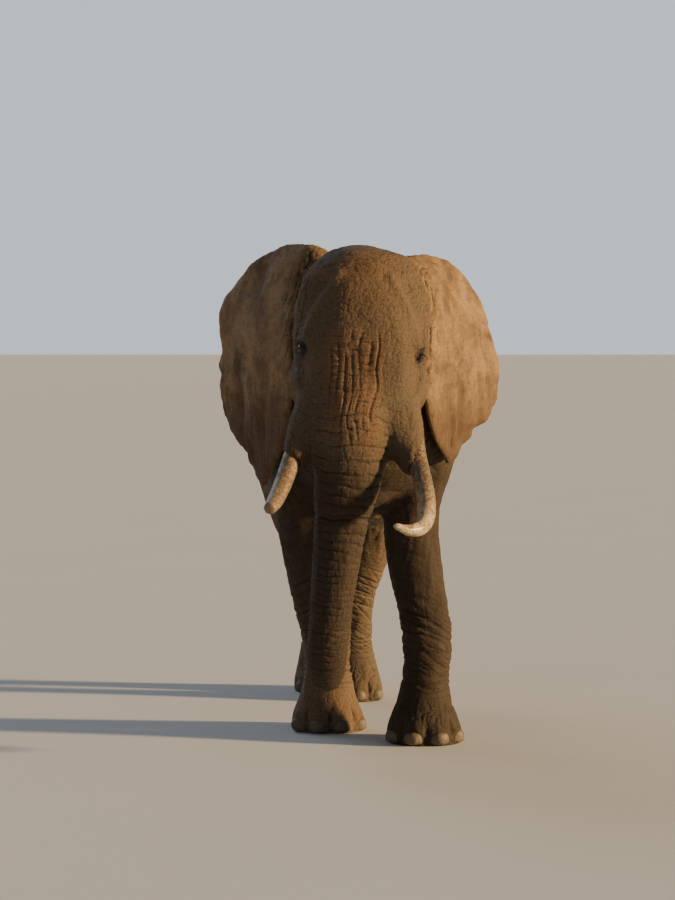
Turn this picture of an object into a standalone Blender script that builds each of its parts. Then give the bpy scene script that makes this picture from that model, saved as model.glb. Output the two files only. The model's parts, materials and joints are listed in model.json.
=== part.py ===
"""African savanna elephant bull, life size, walking, as a still museum model.

The elephant faces -Y with +Z up, and its left side is at +X. The body is lofted limb by limb, fused into
one form, thinned to plain facets and then parted by thin cuts into the pieces that a person would name.
"""

import math

import bmesh
import bpy
import numpy as np
from mathutils import Matrix, Vector
from mathutils.bvhtree import BVHTree

# ---------------------------------------------------------------- driving dimensions, in metres

GAP = 0.001  # width of the cut between two pieces
FIT = 0.0004  # room round an eye, a tusk, a nail and the like
VOXEL = 0.018  # grid on which the lofts are fused
BODY_TRIANGLES = 3100
AROUND = 28  # corners of a lofted section
STEPS = 5  # sections between two rows of a table

FORELEGS_Y = -0.95  # where the body stands over its forelegs, and the head's turn is measured from
HEAD_TURN = math.radians(-4.0)  # the head looks a little to the animal's right
HEAD_ROLL = math.radians(3.5)  # and hangs a little to that side
EYE_HEIGHT = 2.485
EYE_RADIUS = 0.026

# Rows of a loft: x, y, z of the section's middle, half its width, half its depth, how square it is
# (2 is an ellipse), and how much narrower its upper or rear side is.

TORSO = [
    (0.00, -1.66, 2.36, 0.34, 0.50, 2.2, 0.02),
    (0.00, -1.45, 2.30, 0.48, 0.67, 2.3, 0.04),
    (0.00, -1.15, 2.265, 0.57, 0.785, 2.3, 0.06),
    (0.00, -0.75, 2.22, 0.62, 0.80, 2.3, 0.06),
    (0.00, -0.30, 2.115, 0.66, 0.785, 2.3, 0.04),
    (0.00, 0.20, 2.05, 0.685, 0.79, 2.25, 0.02),
    (0.00, 0.65, 2.06, 0.68, 0.81, 2.25, 0.02),
    (0.00, 1.05, 2.115, 0.64, 0.795, 2.25, 0.05),
    (0.00, 1.38, 2.14, 0.55, 0.67, 2.2, 0.10),
    (0.00, 1.62, 2.12, 0.40, 0.47, 2.1, 0.08),
    (0.00, 1.76, 2.08, 0.22, 0.26, 2.0, 0.00),
]
NECK = [
    (0.00, -1.10, 2.38, 0.50, 0.62, 2.2, 0.10),
    (-0.02, -1.40, 2.42, 0.47, 0.57, 2.2, 0.14),
    (-0.05, -1.68, 2.47, 0.41, 0.51, 2.2, 0.14),
    (-0.07, -1.95, 2.52, 0.34, 0.45, 2.2, 0.10),
]
# Head rows rise through the skull and are symmetric; the turn and the roll come after.
SKULL = [
    (0.00, -1.95, 1.98, 0.25, 0.27, 2.2, 0.0),
    (0.00, -1.96, 2.18, 0.335, 0.32, 2.2, 0.0),
    (0.00, -1.94, 2.40, 0.41, 0.35, 2.1, 0.0),
    (0.00, -1.92, 2.62, 0.435, 0.36, 2.1, 0.0),
    (-0.01, -1.88, 2.82, 0.415, 0.35, 2.2, 0.0),
    (-0.02, -1.84, 2.98, 0.34, 0.30, 2.2, 0.0),
    (-0.03, -1.82, 3.085, 0.22, 0.21, 2.1, 0.0),
    (-0.03, -1.82, 3.14, 0.08, 0.08, 2.0, 0.0),
]
FOREHEAD = [
    (0.00, -2.14, 1.97, 0.28, 0.18, 2.4, 0.0),
    (0.00, -2.10, 2.14, 0.325, 0.225, 2.5, 0.0),
    (0.00, -2.08, 2.40, 0.345, 0.24, 2.6, 0.0),
    (0.00, -2.06, 2.62, 0.325, 0.25, 2.5, 0.0),
    (0.00, -2.01, 2.84, 0.275, 0.23, 2.4, 0.0),
    (0.00, -1.95, 2.99, 0.20, 0.19, 2.2, 0.0),
    (0.00, -1.90, 3.08, 0.10, 0.10, 2.0, 0.0),
]
JAW = [
    (0.00, -1.56, 2.16, 0.27, 0.20, 2.2, 0.0),
    (0.00, -1.66, 2.04, 0.25, 0.18, 2.2, 0.0),
    (0.00, -1.75, 1.93, 0.20, 0.14, 2.2, 0.0),
    (0.00, -1.825, 1.81, 0.135, 0.095, 2.2, 0.0),
    (0.00, -1.86, 1.72, 0.08, 0.055, 2.0, 0.0),
    (0.00, -1.87, 1.665, 0.035, 0.025, 2.0, 0.0),
]
TRUNK = [
    (-0.02, -2.06, 2.34, 0.27, 0.24, 2.3, 0.0),
    (-0.045, -2.14, 2.12, 0.265, 0.245, 2.3, 0.0),
    (-0.065, -2.19, 1.92, 0.235, 0.225, 2.3, 0.0),
    (-0.082, -2.215, 1.72, 0.207, 0.20, 2.3, 0.0),
    (-0.118, -2.22, 1.47, 0.168, 0.168, 2.2, 0.0),
    (-0.152, -2.205, 1.20, 0.145, 0.146, 2.2, 0.0),
    (-0.180, -2.175, 0.93, 0.132, 0.132, 2.2, 0.0),
    (-0.200, -2.13, 0.70, 0.126, 0.124, 2.1, 0.0),
    (-0.208, -2.045, 0.555, 0.116, 0.113, 2.1, 0.0),
    (-0.210, -1.93, 0.505, 0.102, 0.100, 2.1, 0.0),
    (-0.205, -1.825, 0.55, 0.090, 0.086, 2.1, 0.0),
    (-0.195, -1.765, 0.65, 0.079, 0.073, 2.1, 0.0),
    (-0.190, -1.752, 0.74, 0.070, 0.060, 2.1, 0.0),
]
LEFT_FORELEG = [
    (0.33, -1.02, 2.72, 0.14, 0.22, 2.0, 0.0),
    (0.40, -1.04, 2.40, 0.21, 0.37, 2.2, 0.0),
    (0.41, -1.08, 2.00, 0.225, 0.40, 2.2, 0.0),
    (0.365, -1.04, 1.70, 0.205, 0.33, 2.2, 0.0),
    (0.325, -1.045, 1.45, 0.185, 0.255, 2.2, 0.1),
    (0.35, -1.075, 1.12, 0.178, 0.205, 2.2, 0.1),
    (0.385, -1.11, 0.90, 0.168, 0.183, 2.2, 0.1),
    (0.42, -1.155, 0.66, 0.166, 0.185, 2.2, 0.1),
    (0.412, -1.185, 0.42, 0.158, 0.165, 2.2, 0.0),
    (0.395, -1.215, 0.24, 0.182, 0.198, 2.2, 0.0),
    (0.392, -1.245, 0.10, 0.232, 0.245, 2.2, 0.0),
    (0.392, -1.25, 0.03, 0.24, 0.252, 2.2, 0.0),
    (0.392, -1.25, -0.06, 0.235, 0.245, 2.2, 0.0),
]
RIGHT_FORELEG = [
    (-0.33, -0.98, 2.72, 0.14, 0.22, 2.0, 0.0),
    (-0.40, -0.98, 2.40, 0.21, 0.37, 2.2, 0.0),
    (-0.41, -0.99, 2.00, 0.225, 0.40, 2.2, 0.0),
    (-0.375, -0.94, 1.70, 0.205, 0.33, 2.2, 0.0),
    (-0.36, -0.90, 1.45, 0.185, 0.255, 2.2, 0.1),
    (-0.305, -0.855, 1.15, 0.18, 0.205, 2.2, 0.1),
    (-0.265, -0.805, 0.90, 0.17, 0.183, 2.2, 0.1),
    (-0.205, -0.745, 0.66, 0.166, 0.185, 2.2, 0.1),
    (-0.19, -0.70, 0.42, 0.158, 0.165, 2.2, 0.0),
    (-0.185, -0.67, 0.24, 0.182, 0.198, 2.2, 0.0),
    (-0.185, -0.66, 0.10, 0.232, 0.245, 2.2, 0.0),
    (-0.185, -0.655, 0.03, 0.24, 0.252, 2.2, 0.0),
    (-0.185, -0.655, -0.06, 0.235, 0.245, 2.2, 0.0),
]
LEFT_HIND_LEG = [
    (0.28, 1.08, 2.62, 0.20, 0.30, 2.1, 0.0),
    (0.37, 1.12, 2.30, 0.26, 0.45, 2.2, 0.0),
    (0.38, 1.10, 1.95, 0.265, 0.48, 2.2, 0.0),
    (0.33, 1.00, 1.62, 0.24, 0.45, 2.2, 0.05),
    (0.265, 0.88, 1.32, 0.20, 0.34, 2.2, 0.1),
    (0.195, 0.85, 1.08, 0.172, 0.26, 2.2, 0.15),
    (0.135, 0.885, 0.82, 0.143, 0.195, 2.2, 0.15),
    (0.105, 0.93, 0.58, 0.136, 0.172, 2.2, 0.1),
    (0.112, 0.93, 0.38, 0.138, 0.156, 2.2, 0.0),
    (0.12, 0.915, 0.20, 0.163, 0.188, 2.2, 0.0),
    (0.122, 0.895, 0.09, 0.186, 0.225, 2.2, 0.0),
    (0.122, 0.89, 0.03, 0.19, 0.232, 2.2, 0.0),
    (0.122, 0.89, -0.06, 0.186, 0.225, 2.2, 0.0),
]
RIGHT_HIND_LEG = [
    (-0.28, 1.08, 2.62, 0.20, 0.30, 2.1, 0.0),
    (-0.37, 1.14, 2.30, 0.26, 0.45, 2.2, 0.0),
    (-0.38, 1.17, 1.95, 0.265, 0.47, 2.2, 0.0),
    (-0.335, 1.14, 1.62, 0.235, 0.43, 2.2, 0.05),
    (-0.27, 1.13, 1.32, 0.20, 0.33, 2.2, 0.1),
    (-0.20, 1.18, 1.08, 0.17, 0.25, 2.2, 0.15),
    (-0.145, 1.275, 0.82, 0.143, 0.19, 2.2, 0.15),
    (-0.115, 1.375, 0.58, 0.136, 0.172, 2.2, 0.1),
    (-0.11, 1.40, 0.38, 0.138, 0.156, 2.2, 0.0),
    (-0.11, 1.39, 0.20, 0.163, 0.188, 2.2, 0.0),
    (-0.11, 1.375, 0.09, 0.186, 0.225, 2.2, 0.0),
    (-0.11, 1.37, 0.03, 0.19, 0.232, 2.2, 0.0),
    (-0.11, 1.37, -0.06, 0.186, 0.225, 2.2, 0.0),
]
TAIL = [
    (0.00, 1.62, 2.42, 0.085, 0.075, 2.0, 0.0),
    (0.00, 1.74, 2.34, 0.075, 0.065, 2.0, 0.0),
    (0.01, 1.835, 2.20, 0.060, 0.052, 2.0, 0.0),
    (0.02, 1.875, 1.98, 0.046, 0.040, 2.0, 0.0),
    (0.03, 1.885, 1.70, 0.036, 0.032, 2.0, 0.0),
    (0.035, 1.87, 1.42, 0.028, 0.026, 2.0, 0.0),
    (0.035, 1.86, 1.16, 0.021, 0.020, 2.0, 0.0),
]
TUFT = [
    (0.035, 1.86, 1.158, 0.016, 0.018, 2.0, 0.0),
    (0.035, 1.86, 1.10, 0.022, 0.045, 2.0, 0.0),
    (0.035, 1.86, 0.98, 0.024, 0.062, 2.0, 0.0),
    (0.036, 1.862, 0.85, 0.018, 0.048, 2.0, 0.0),
    (0.037, 1.865, 0.74, 0.006, 0.014, 2.0, 0.0),
]
# Rounded masses under the skin: middle, then half sizes.
SKULL_MASSES = [
    ((0.285, -2.00, 2.53), (0.13, 0.21, 0.18)),  # brow over the eye
    ((0.285, -1.93, 2.31), (0.145, 0.27, 0.22)),  # cheekbone
    ((0.24, -1.88, 2.12), (0.14, 0.22, 0.17)),  # cheek
    ((0.10, -2.13, 2.07), (0.22, 0.17, 0.18)),  # flesh between the tusk's root and the trunk
    ((0.20, -2.16, 1.99), (0.15, 0.13, 0.15)),  # and its lower lip
]
BODY_MASSES = [
    ((0.0, -1.10, 2.78), (0.20, 0.42, 0.275)),  # withers
    ((0.27, 0.98, 2.60), (0.24, 0.36, 0.28)),  # left hip
    ((-0.27, 0.98, 2.60), (0.24, 0.36, 0.28)),  # right hip
    ((0.0, 1.50, 2.36), (0.20, 0.30, 0.24)),  # root of the tail
    ((0.0, 0.56, 1.27), (0.11, 0.26, 0.085)),  # sheath under the belly
    ((0.0, -1.38, 1.75), (0.24, 0.22, 0.26)),  # breast
]
TRUNK_FINGERS = [
    ((-0.19, -1.795, 0.755), (0.036, 0.026, 0.055)),  # front
    ((-0.19, -1.705, 0.745), (0.036, 0.026, 0.05)),  # back
]
SHEATH = [
    (0.16, -2.08, 2.38, 0.16, 0.15, 2.0, 0.0),
    (0.205, -2.12, 2.20, 0.17, 0.155, 2.0, 0.0),
    (0.27, -2.18, 2.02, 0.145, 0.145, 2.0, 0.0),
    (0.335, -2.255, 1.88, 0.10, 0.10, 2.0, 0.0),
    (0.365, -2.31, 1.80, 0.076, 0.078, 2.0, 0.0),
]
# Tusks: x, y, z, radius, in the head's upright frame before its turn.
LEFT_TUSK = [
    (0.315, -2.22, 1.95, 0.058),
    (0.348, -2.325, 1.80, 0.058),
    (0.377, -2.44, 1.66, 0.057),
    (0.382, -2.565, 1.535, 0.053),
    (0.345, -2.69, 1.465, 0.045),
    (0.272, -2.78, 1.455, 0.033),
    (0.192, -2.835, 1.485, 0.013),
]
RIGHT_TUSK = [
    (-0.385, -2.22, 1.95, 0.055),
    (-0.424, -2.32, 1.82, 0.056),
    (-0.458, -2.43, 1.725, 0.055),
    (-0.492, -2.56, 1.645, 0.050),
    (-0.518, -2.68, 1.60, 0.044),
    (-0.534, -2.76, 1.58, 0.034),
]
# Each ear in the head's frame: its free edge from the nape over the top and round to the lower tip, and
# its root along the skull between the same two ends.
LEFT_EAR_EDGE = [
    (0.21, -1.56, 3.05), (0.36, -1.48, 3.09), (0.48, -1.36, 3.085), (0.605, -1.20, 3.02),
    (0.70, -1.06, 2.92), (0.775, -0.96, 2.80), (0.853, -0.87, 2.576), (0.892, -0.86, 2.36),
    (0.882, -0.90, 2.20), (0.838, -0.96, 2.10), (0.76, -1.07, 2.04), (0.64, -1.28, 1.87),
    (0.546, -1.44, 1.79),
]
LEFT_EAR_ROOT = [
    (0.21, -1.56, 3.05), (0.35, -1.66, 2.90), (0.405, -1.76, 2.70), (0.42, -1.80, 2.45),
    (0.40, -1.80, 2.22), (0.435, -1.71, 2.02), (0.546, -1.44, 1.79),
]
RIGHT_EAR_EDGE = [
    (-0.19, -1.56, 3.09), (-0.30, -1.50, 3.145), (-0.42, -1.42, 3.157), (-0.52, -1.30, 3.14),
    (-0.62, -1.18, 3.085), (-0.735, -1.03, 2.98), (-0.825, -0.94, 2.87), (-0.885, -0.88, 2.77),
    (-0.915, -0.85, 2.69), (-0.90, -0.86, 2.61), (-0.878, -0.865, 2.555), (-0.90, -0.83, 2.44),
    (-0.895, -0.83, 2.24), (-0.855, -0.90, 2.07), (-0.72, -1.13, 1.855), (-0.60, -1.36, 1.64),
]
RIGHT_EAR_ROOT = [
    (-0.19, -1.56, 3.09), (-0.35, -1.66, 2.92), (-0.405, -1.76, 2.70), (-0.43, -1.80, 2.45),
    (-0.42, -1.79, 2.22), (-0.455, -1.70, 1.98), (-0.60, -1.36, 1.64),
]
EAR_CUP = 0.055  # how far the blade bows forward between root and edge
EAR_FLUTE = 0.014
EAR_THICKNESS = 0.026
EAR_ROWS = 20
EAR_COLUMNS = 6

NAILS = {  # foot: nail bearings from straight ahead in degrees, half width and half height of a nail
    "forefoot_left": ((-62, -22, 20, 60), 0.052, 0.044),
    "forefoot_right": ((-60, -20, 22, 62), 0.052, 0.044),
    "hindfoot_left": ((-42, 0, 42), 0.050, 0.042),
    "hindfoot_right": ((-42, 0, 42), 0.050, 0.042),
}
NAIL_MIDDLE = 0.050  # height of a nail's middle over the floor
NAIL_THICKNESS = 0.026
NAIL_LOWEST = 0.006

# Thin cuts that part the body: middle, normal, half width, half height.
CUTS = {
    "neck from shoulders": ((0, -1.33, 2.35), (0, 1, 0), 1.0, 0.98),
    "shoulders from barrel": ((0, -0.52, 2.30), (0, 1, 0), 1.0, 1.10),
    "barrel from hindquarters": ((0, 0.50, 2.20), (0, 1, 0), 1.0, 1.10),
    "head from neck": ((-0.05, -1.56, 2.50), (0, 1, 0), 0.85, 1.0),
    "jaw from head": ((-0.02, -1.765, 1.895), (0, 0.08, 1), 0.56, 0.207),
    "trunk from face": ((-0.10, -2.22, 1.70), (0, 0, 1), 0.30, 0.225),
    "trunk middle": ((-0.16, -2.22, 1.27), (0, 0, 1), 0.30, 0.30),
    "trunk lower": ((-0.20, -2.20, 0.86), (0, 0, 1), 0.30, 0.22),
    "trunk end": ((-0.22, -1.945, 0.53), (0, 1, 0.1), 0.25, 0.22),
    "left forearm": ((0.33, -1.06, 1.38), (-0.3, 0, 1), 0.27, 0.40),
    "right forearm": ((-0.36, -0.90, 1.38), (0.3, 0, 1), 0.27, 0.34),
    "left wrist": ((0.42, -1.16, 0.66), (0, 0, 1), 0.30, 0.30),
    "right wrist": ((-0.20, -0.745, 0.66), (0, 0, 1), 0.30, 0.30),
    "left forefoot": ((0.40, -1.22, 0.25), (0, 0, 1), 0.30, 0.32),
    "right forefoot": ((-0.185, -0.67, 0.25), (0, 0, 1), 0.26, 0.32),
    "both knees": ((0.0, 1.02, 1.12), (0, 0, 1), 0.55, 0.50),
    "both hocks": ((0.0, 1.13, 0.52), (0, 0, 1), 0.40, 0.50),
    "both hindfeet": ((0.0, 1.13, 0.24), (0, 0, 1), 0.40, 0.52),
}
# A point in each piece of the parted body, by which it gets its name.
LABELS = {
    "head": (-0.05, -2.00, 2.50),
    "lower_jaw": (-0.10, -1.81, 1.79),
    "neck": (-0.02, -1.45, 2.40),
    "shoulders": (0, -0.95, 2.20),
    "barrel": (0, 0.0, 2.10),
    "hindquarters": (0, 1.05, 2.05),
    "trunk_upper": (-0.16, -2.22, 1.48),
    "trunk_middle": (-0.21, -2.20, 1.06),
    "trunk_lower": (-0.27, -2.10, 0.65),
    "trunk_end": (-0.24, -1.80, 0.65),
    "foreleg_left_upper": (0.36, -1.08, 1.0),
    "foreleg_left_lower": (0.41, -1.19, 0.45),
    "forefoot_left": (0.39, -1.25, 0.12),
    "foreleg_right_upper": (-0.28, -0.83, 1.0),
    "foreleg_right_lower": (-0.19, -0.70, 0.45),
    "forefoot_right": (-0.185, -0.66, 0.12),
    "hind_leg_left_upper": (0.15, 0.88, 0.82),
    "hind_leg_left_lower": (0.11, 0.925, 0.38),
    "hindfoot_left": (0.12, 0.89, 0.12),
    "hind_leg_right_upper": (-0.15, 1.26, 0.82),
    "hind_leg_right_lower": (-0.11, 1.395, 0.38),
    "hindfoot_right": (-0.11, 1.37, 0.12),
}

SKIN = ("skin", (0.25, 0.19, 0.145), 0.85)
IVORY = ("ivory", (0.78, 0.70, 0.56), 0.35)
EYE = ("eye", (0.05, 0.028, 0.015), 0.08)
NAIL = ("nail", (0.40, 0.34, 0.27), 0.6)
HAIR = ("hair", (0.03, 0.026, 0.024), 0.5)

TURN = (
    Matrix.Translation((0, FORELEGS_Y, 0))
    @ Matrix.Rotation(HEAD_TURN, 4, "Z")
    @ Matrix.Translation((0, -FORELEGS_Y, 0))
)
ROLL = (
    Matrix.Translation((0, 0, EYE_HEIGHT))
    @ Matrix.Rotation(HEAD_ROLL, 4, "Y")
    @ Matrix.Translation((0, 0, -EYE_HEIGHT))
)


# ---------------------------------------------------------------- tools

def clear_scene():
    for obj in list(bpy.data.objects):
        bpy.data.objects.remove(obj, do_unlink=True)


def new_collection(name):
    made = bpy.data.collections.new(name)
    bpy.context.scene.collection.children.link(made)
    return made


def material(finish):
    name, colour, roughness = finish
    made = bpy.data.materials.get(name) or bpy.data.materials.new(name)
    made.use_nodes = True
    shader = made.node_tree.nodes["Principled BSDF"]
    shader.inputs["Base Color"].default_value = (*colour, 1.0)
    shader.inputs["Roughness"].default_value = roughness
    shader.inputs["Metallic"].default_value = 0.0
    return made


def new_object(name, mesh, collection, finish=None):
    obj = bpy.data.objects.new(name, mesh)
    collection.objects.link(obj)
    if finish:
        mesh.materials.clear()
        mesh.materials.append(material(finish))
    return obj


def mesh_of(bm, name):
    bmesh.ops.recalc_face_normals(bm, faces=bm.faces)
    mesh = bpy.data.meshes.new(name)
    bm.to_mesh(mesh)
    bm.free()
    return mesh


def baked(obj):
    """Gives obj its evaluated mesh and drops its modifiers."""
    graph = bpy.context.evaluated_depsgraph_get()
    mesh = bpy.data.meshes.new_from_object(obj.evaluated_get(graph))
    obj.modifiers.clear()
    obj.data = mesh
    return obj


def smooth_rows(rows, steps):
    """A table's rows with a smooth run between them: a cubic through each column."""
    table = np.array(rows, float)
    reach = np.r_[0, np.cumsum(np.linalg.norm(np.diff(table[:, :3], axis=0), axis=1))]
    slopes = np.gradient(table, reach, axis=0)
    found = []
    for i in range(len(table) - 1):
        span = reach[i + 1] - reach[i]
        for t in np.arange(steps) / steps:
            a, b = table[i], table[i + 1]
            found.append(
                (1 + 2 * t) * (1 - t) ** 2 * a
                + t * (1 - t) ** 2 * span * slopes[i]
                + t**2 * (3 - 2 * t) * b
                - t**2 * (1 - t) * span * slopes[i + 1]
            )
    return np.array(found + [table[-1]])


def loft(name, rows, steps=STEPS, around=AROUND):
    """A closed tube through the rows of a table, its sections square to the line of their middles."""
    table = smooth_rows(rows, steps)
    middles = [Vector(row[:3]) for row in table]
    bm = bmesh.new()
    rings = []
    for i, (across, deep, power, taper) in enumerate(table[:, 3:]):
        run = middles[min(i + 1, len(middles) - 1)] - middles[max(i - 1, 0)]
        run.normalize()
        side = (Vector((1, 0, 0)) - run * run.x).normalized()
        upper = side.cross(run)
        ring = []
        for k in range(around):
            angle = math.tau * k / around
            c, s = math.cos(angle), math.sin(angle)
            u = across * math.copysign(abs(c) ** (2 / power), c) * (1 - taper * s)
            v = deep * math.copysign(abs(s) ** (2 / power), s)
            ring.append(bm.verts.new(middles[i] + side * u + upper * v))
        rings.append(ring)
    for lower, higher in zip(rings, rings[1:]):
        for k in range(around):
            after = (k + 1) % around
            bm.faces.new((lower[k], lower[after], higher[after], higher[k]))
    bm.faces.new(rings[0])
    bm.faces.new(rings[-1])
    return mesh_of(bm, name)


def ball(name, middle, halves, segments=20, rings=12):
    bm = bmesh.new()
    bmesh.ops.create_uvsphere(bm, u_segments=segments, v_segments=rings, radius=1.0)
    place = Matrix.Translation(middle) @ Matrix.Diagonal((*halves, 1.0))
    bmesh.ops.transform(bm, matrix=place, verts=bm.verts)
    return mesh_of(bm, name)


def mirrored(mesh):
    other = mesh.copy()
    other.transform(Matrix.Scale(-1, 4, (1, 0, 0)))
    other.flip_normals()
    return other


def joined(name, meshes):
    bm = bmesh.new()
    for mesh in meshes:
        bm.from_mesh(mesh)
    return mesh_of(bm, name)


def boolean(obj, cutter, operation="DIFFERENCE"):
    change = obj.modifiers.new("cut", "BOOLEAN")
    change.operation = operation
    change.solver = "EXACT"
    change.object = cutter
    baked(obj)


def swollen(obj, by, name, collection):
    """A copy of obj with its surface moved out, for cutting a neighbour with a gap."""
    mesh = obj.data.copy()
    bm = bmesh.new()
    bm.from_mesh(mesh)
    bm.normal_update()
    for vert in bm.verts:
        vert.co += vert.normal * by
    bm.to_mesh(mesh)
    bm.free()
    return new_object(name, mesh, collection)


def largest_piece(obj):
    """Keeps the biggest of obj's loose pieces."""
    bm = bmesh.new()
    bm.from_mesh(obj.data)
    groups = loose_groups(bm)
    keep = max(groups, key=len)
    bmesh.ops.delete(bm, geom=[v for g in groups if g is not keep for v in g], context="VERTS")
    bm.to_mesh(obj.data)
    bm.free()


def loose_groups(bm):
    """The vertices of each loose piece."""
    bm.verts.ensure_lookup_table()
    seen = set()
    groups = []
    for start in bm.verts:
        if start in seen:
            continue
        seen.add(start)
        group = [start]
        for vert in group:
            for edge in vert.link_edges:
                other = edge.other_vert(vert)
                if other not in seen:
                    seen.add(other)
                    group.append(other)
        groups.append(group)
    return groups


# ---------------------------------------------------------------- the whole body

def fused_body(collection):
    """All of the flesh but the ears and the tail, as one closed faceted form standing on the floor."""
    head = [loft("skull", SKULL), loft("forehead", FOREHEAD), loft("jaw", JAW)]
    for mass in SKULL_MASSES:
        side = ball("mass", *mass)
        head += [side, mirrored(side)]
    sheath = loft("sheath", SHEATH)
    head += [sheath, mirrored(sheath)]
    for mesh in head:
        mesh.transform(TURN @ ROLL)
    trunk = [loft("trunk", TRUNK), *(ball("finger", *finger) for finger in TRUNK_FINGERS)]
    for mesh in trunk:
        mesh.transform(TURN)
    rest = [
        loft("limb", rows)
        for rows in (TORSO, NECK, LEFT_FORELEG, RIGHT_FORELEG, LEFT_HIND_LEG, RIGHT_HIND_LEG)
    ]
    rest += [ball("mass", *mass) for mass in BODY_MASSES]
    body = new_object("body", joined("body", [*head, *trunk, *rest]), collection)
    fuse = body.modifiers.new("fuse", "REMESH")
    fuse.mode = "VOXEL"
    fuse.voxel_size = VOXEL
    relax = body.modifiers.new("relax", "SMOOTH")
    relax.factor = 0.5
    relax.iterations = 14
    baked(body)
    thin = body.modifiers.new("thin", "DECIMATE")
    thin.ratio = BODY_TRIANGLES / (2 * len(body.data.polygons))
    baked(body)
    return body


def stand_on_floor(body, collection):
    """Cuts the soles flat at floor level."""
    bm = bmesh.new()
    bmesh.ops.create_cube(bm, size=1.0)
    bmesh.ops.transform(bm, matrix=Matrix.Diagonal((8, 8, 1, 1)), verts=bm.verts)
    bmesh.ops.translate(bm, vec=(0, 0, -0.5), verts=bm.verts)
    boolean(body, new_object("floor_cutter", mesh_of(bm, "floor_cutter"), collection))


# ---------------------------------------------------------------- ears, tusks, eyes, tail, nails

def evenly(chain, count):
    """Points that share a chain's length equally, on a smooth run through its corners."""
    run = smooth_rows(chain, 8)
    reach = np.r_[0, np.cumsum(np.linalg.norm(np.diff(run, axis=0), axis=1))]
    steps = np.linspace(0, reach[-1], count)
    return np.stack([np.interp(steps, reach, run[:, i]) for i in range(3)], axis=1)


def ear_point(inner, outer, share):
    """A point of the ear's blade: bowed forward and hanging in folds that deepen towards the hem."""
    point = inner + (outer - inner) * share
    point[1] -= EAR_CUP * math.sin(math.pi * share)
    low = min(max(2.65 - point[2], 0.0), 0.6) / 0.6
    point[1] += EAR_FLUTE * low * share * math.sin(22 * share + 3 * point[2])
    return point


def ear(name, root, edge, collection):
    """A thin leaf between its root and its free edge, bent back along the shoulder."""
    bm = bmesh.new()
    lines = []
    for row, (inner, outer) in enumerate(zip(evenly(root, EAR_ROWS + 1), evenly(edge, EAR_ROWS + 1))):
        shares = np.linspace(0, 1, EAR_COLUMNS + 1) if 0 < row < EAR_ROWS else [0.0]
        lines.append([bm.verts.new(ear_point(inner, outer, share)) for share in shares])
    for upper, lower in zip(lines, lines[1:]):
        for column in range(EAR_COLUMNS):
            corners = [upper[min(column + k, len(upper) - 1)] for k in (0, 1)]
            corners += [lower[min(column + k, len(lower) - 1)] for k in (1, 0)]
            bm.faces.new(dict.fromkeys(corners))
    obj = new_object(name, mesh_of(bm, name), collection, SKIN)
    obj.data.transform(TURN)
    thick = obj.modifiers.new("thick", "SOLIDIFY")
    thick.thickness = EAR_THICKNESS
    thick.offset = 0.0
    return baked(obj)


def tusk(name, rows, collection):
    """A bevelled curve that tapers to the worn tip, made a mesh with its caps welded."""
    curve = bpy.data.curves.new(name, "CURVE")
    curve.dimensions = "3D"
    curve.bevel_depth = 1.0
    curve.bevel_resolution = 2
    curve.use_fill_caps = True
    table = smooth_rows(rows, 2)
    spline = curve.splines.new("POLY")
    spline.points.add(len(table) - 1)
    for point, (x, y, z, radius) in zip(spline.points, table):
        point.co = (x, y, z, 1.0)
        point.radius = radius
    holder = new_object(name + "_curve", curve, collection)
    graph = bpy.context.evaluated_depsgraph_get()
    mesh = bpy.data.meshes.new_from_object(holder.evaluated_get(graph))
    bpy.data.objects.remove(holder)
    bm = bmesh.new()
    bm.from_mesh(mesh)
    bmesh.ops.remove_doubles(bm, verts=bm.verts, dist=0.0001)
    made = mesh_of(bm, name)
    made.transform(TURN)
    return new_object(name, made, collection, IVORY)


def eye(name, side, surface, collection):
    """An eyeball set into the head where a line from beside the face meets it."""
    aim = TURN @ ROLL
    middle = aim @ Vector((side * 0.22, -1.91, EYE_HEIGHT))
    outside = aim @ Vector((side * 0.66, -2.62, EYE_HEIGHT))
    way = (middle - outside).normalized()
    hit, _, _, _ = surface.ray_cast(outside, way)
    centre = hit + way * EYE_RADIUS * 0.62
    mesh = ball(name, centre, (EYE_RADIUS,) * 3, 10, 6)
    return new_object(name, mesh, collection, EYE)


def nail(name, foot_middle, bearing, half_width, half_height, surface, collection):
    """A rounded plate standing on the toe's skin, its bearing measured from straight ahead."""
    way = Vector((math.sin(bearing), -math.cos(bearing), 0.0))
    hit, _, _, _ = surface.ray_cast(foot_middle + way * 0.29, -way)
    mesh = ball(name, (0, 0, 0), (half_width, NAIL_THICKNESS, half_height), 8, 5)
    turn = Matrix.Rotation(bearing, 4, "Z") @ Matrix.Rotation(math.radians(-16), 4, "X")
    mesh.transform(Matrix.Translation(hit) @ turn)
    obj = new_object(name, mesh, collection, NAIL)
    bm = bmesh.new()
    bm.from_mesh(obj.data)
    cut = bmesh.ops.bisect_plane(
        bm,
        geom=[*bm.verts, *bm.edges, *bm.faces],
        plane_co=(0, 0, NAIL_LOWEST),
        plane_no=(0, 0, -1),
        clear_outer=True,
    )
    rim = [item for item in cut["geom_cut"] if isinstance(item, bmesh.types.BMEdge)]
    bmesh.ops.edgeloop_fill(bm, edges=rim)
    bmesh.ops.recalc_face_normals(bm, faces=bm.faces)
    bm.to_mesh(obj.data)
    bm.free()
    return obj


# ---------------------------------------------------------------- parting

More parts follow.
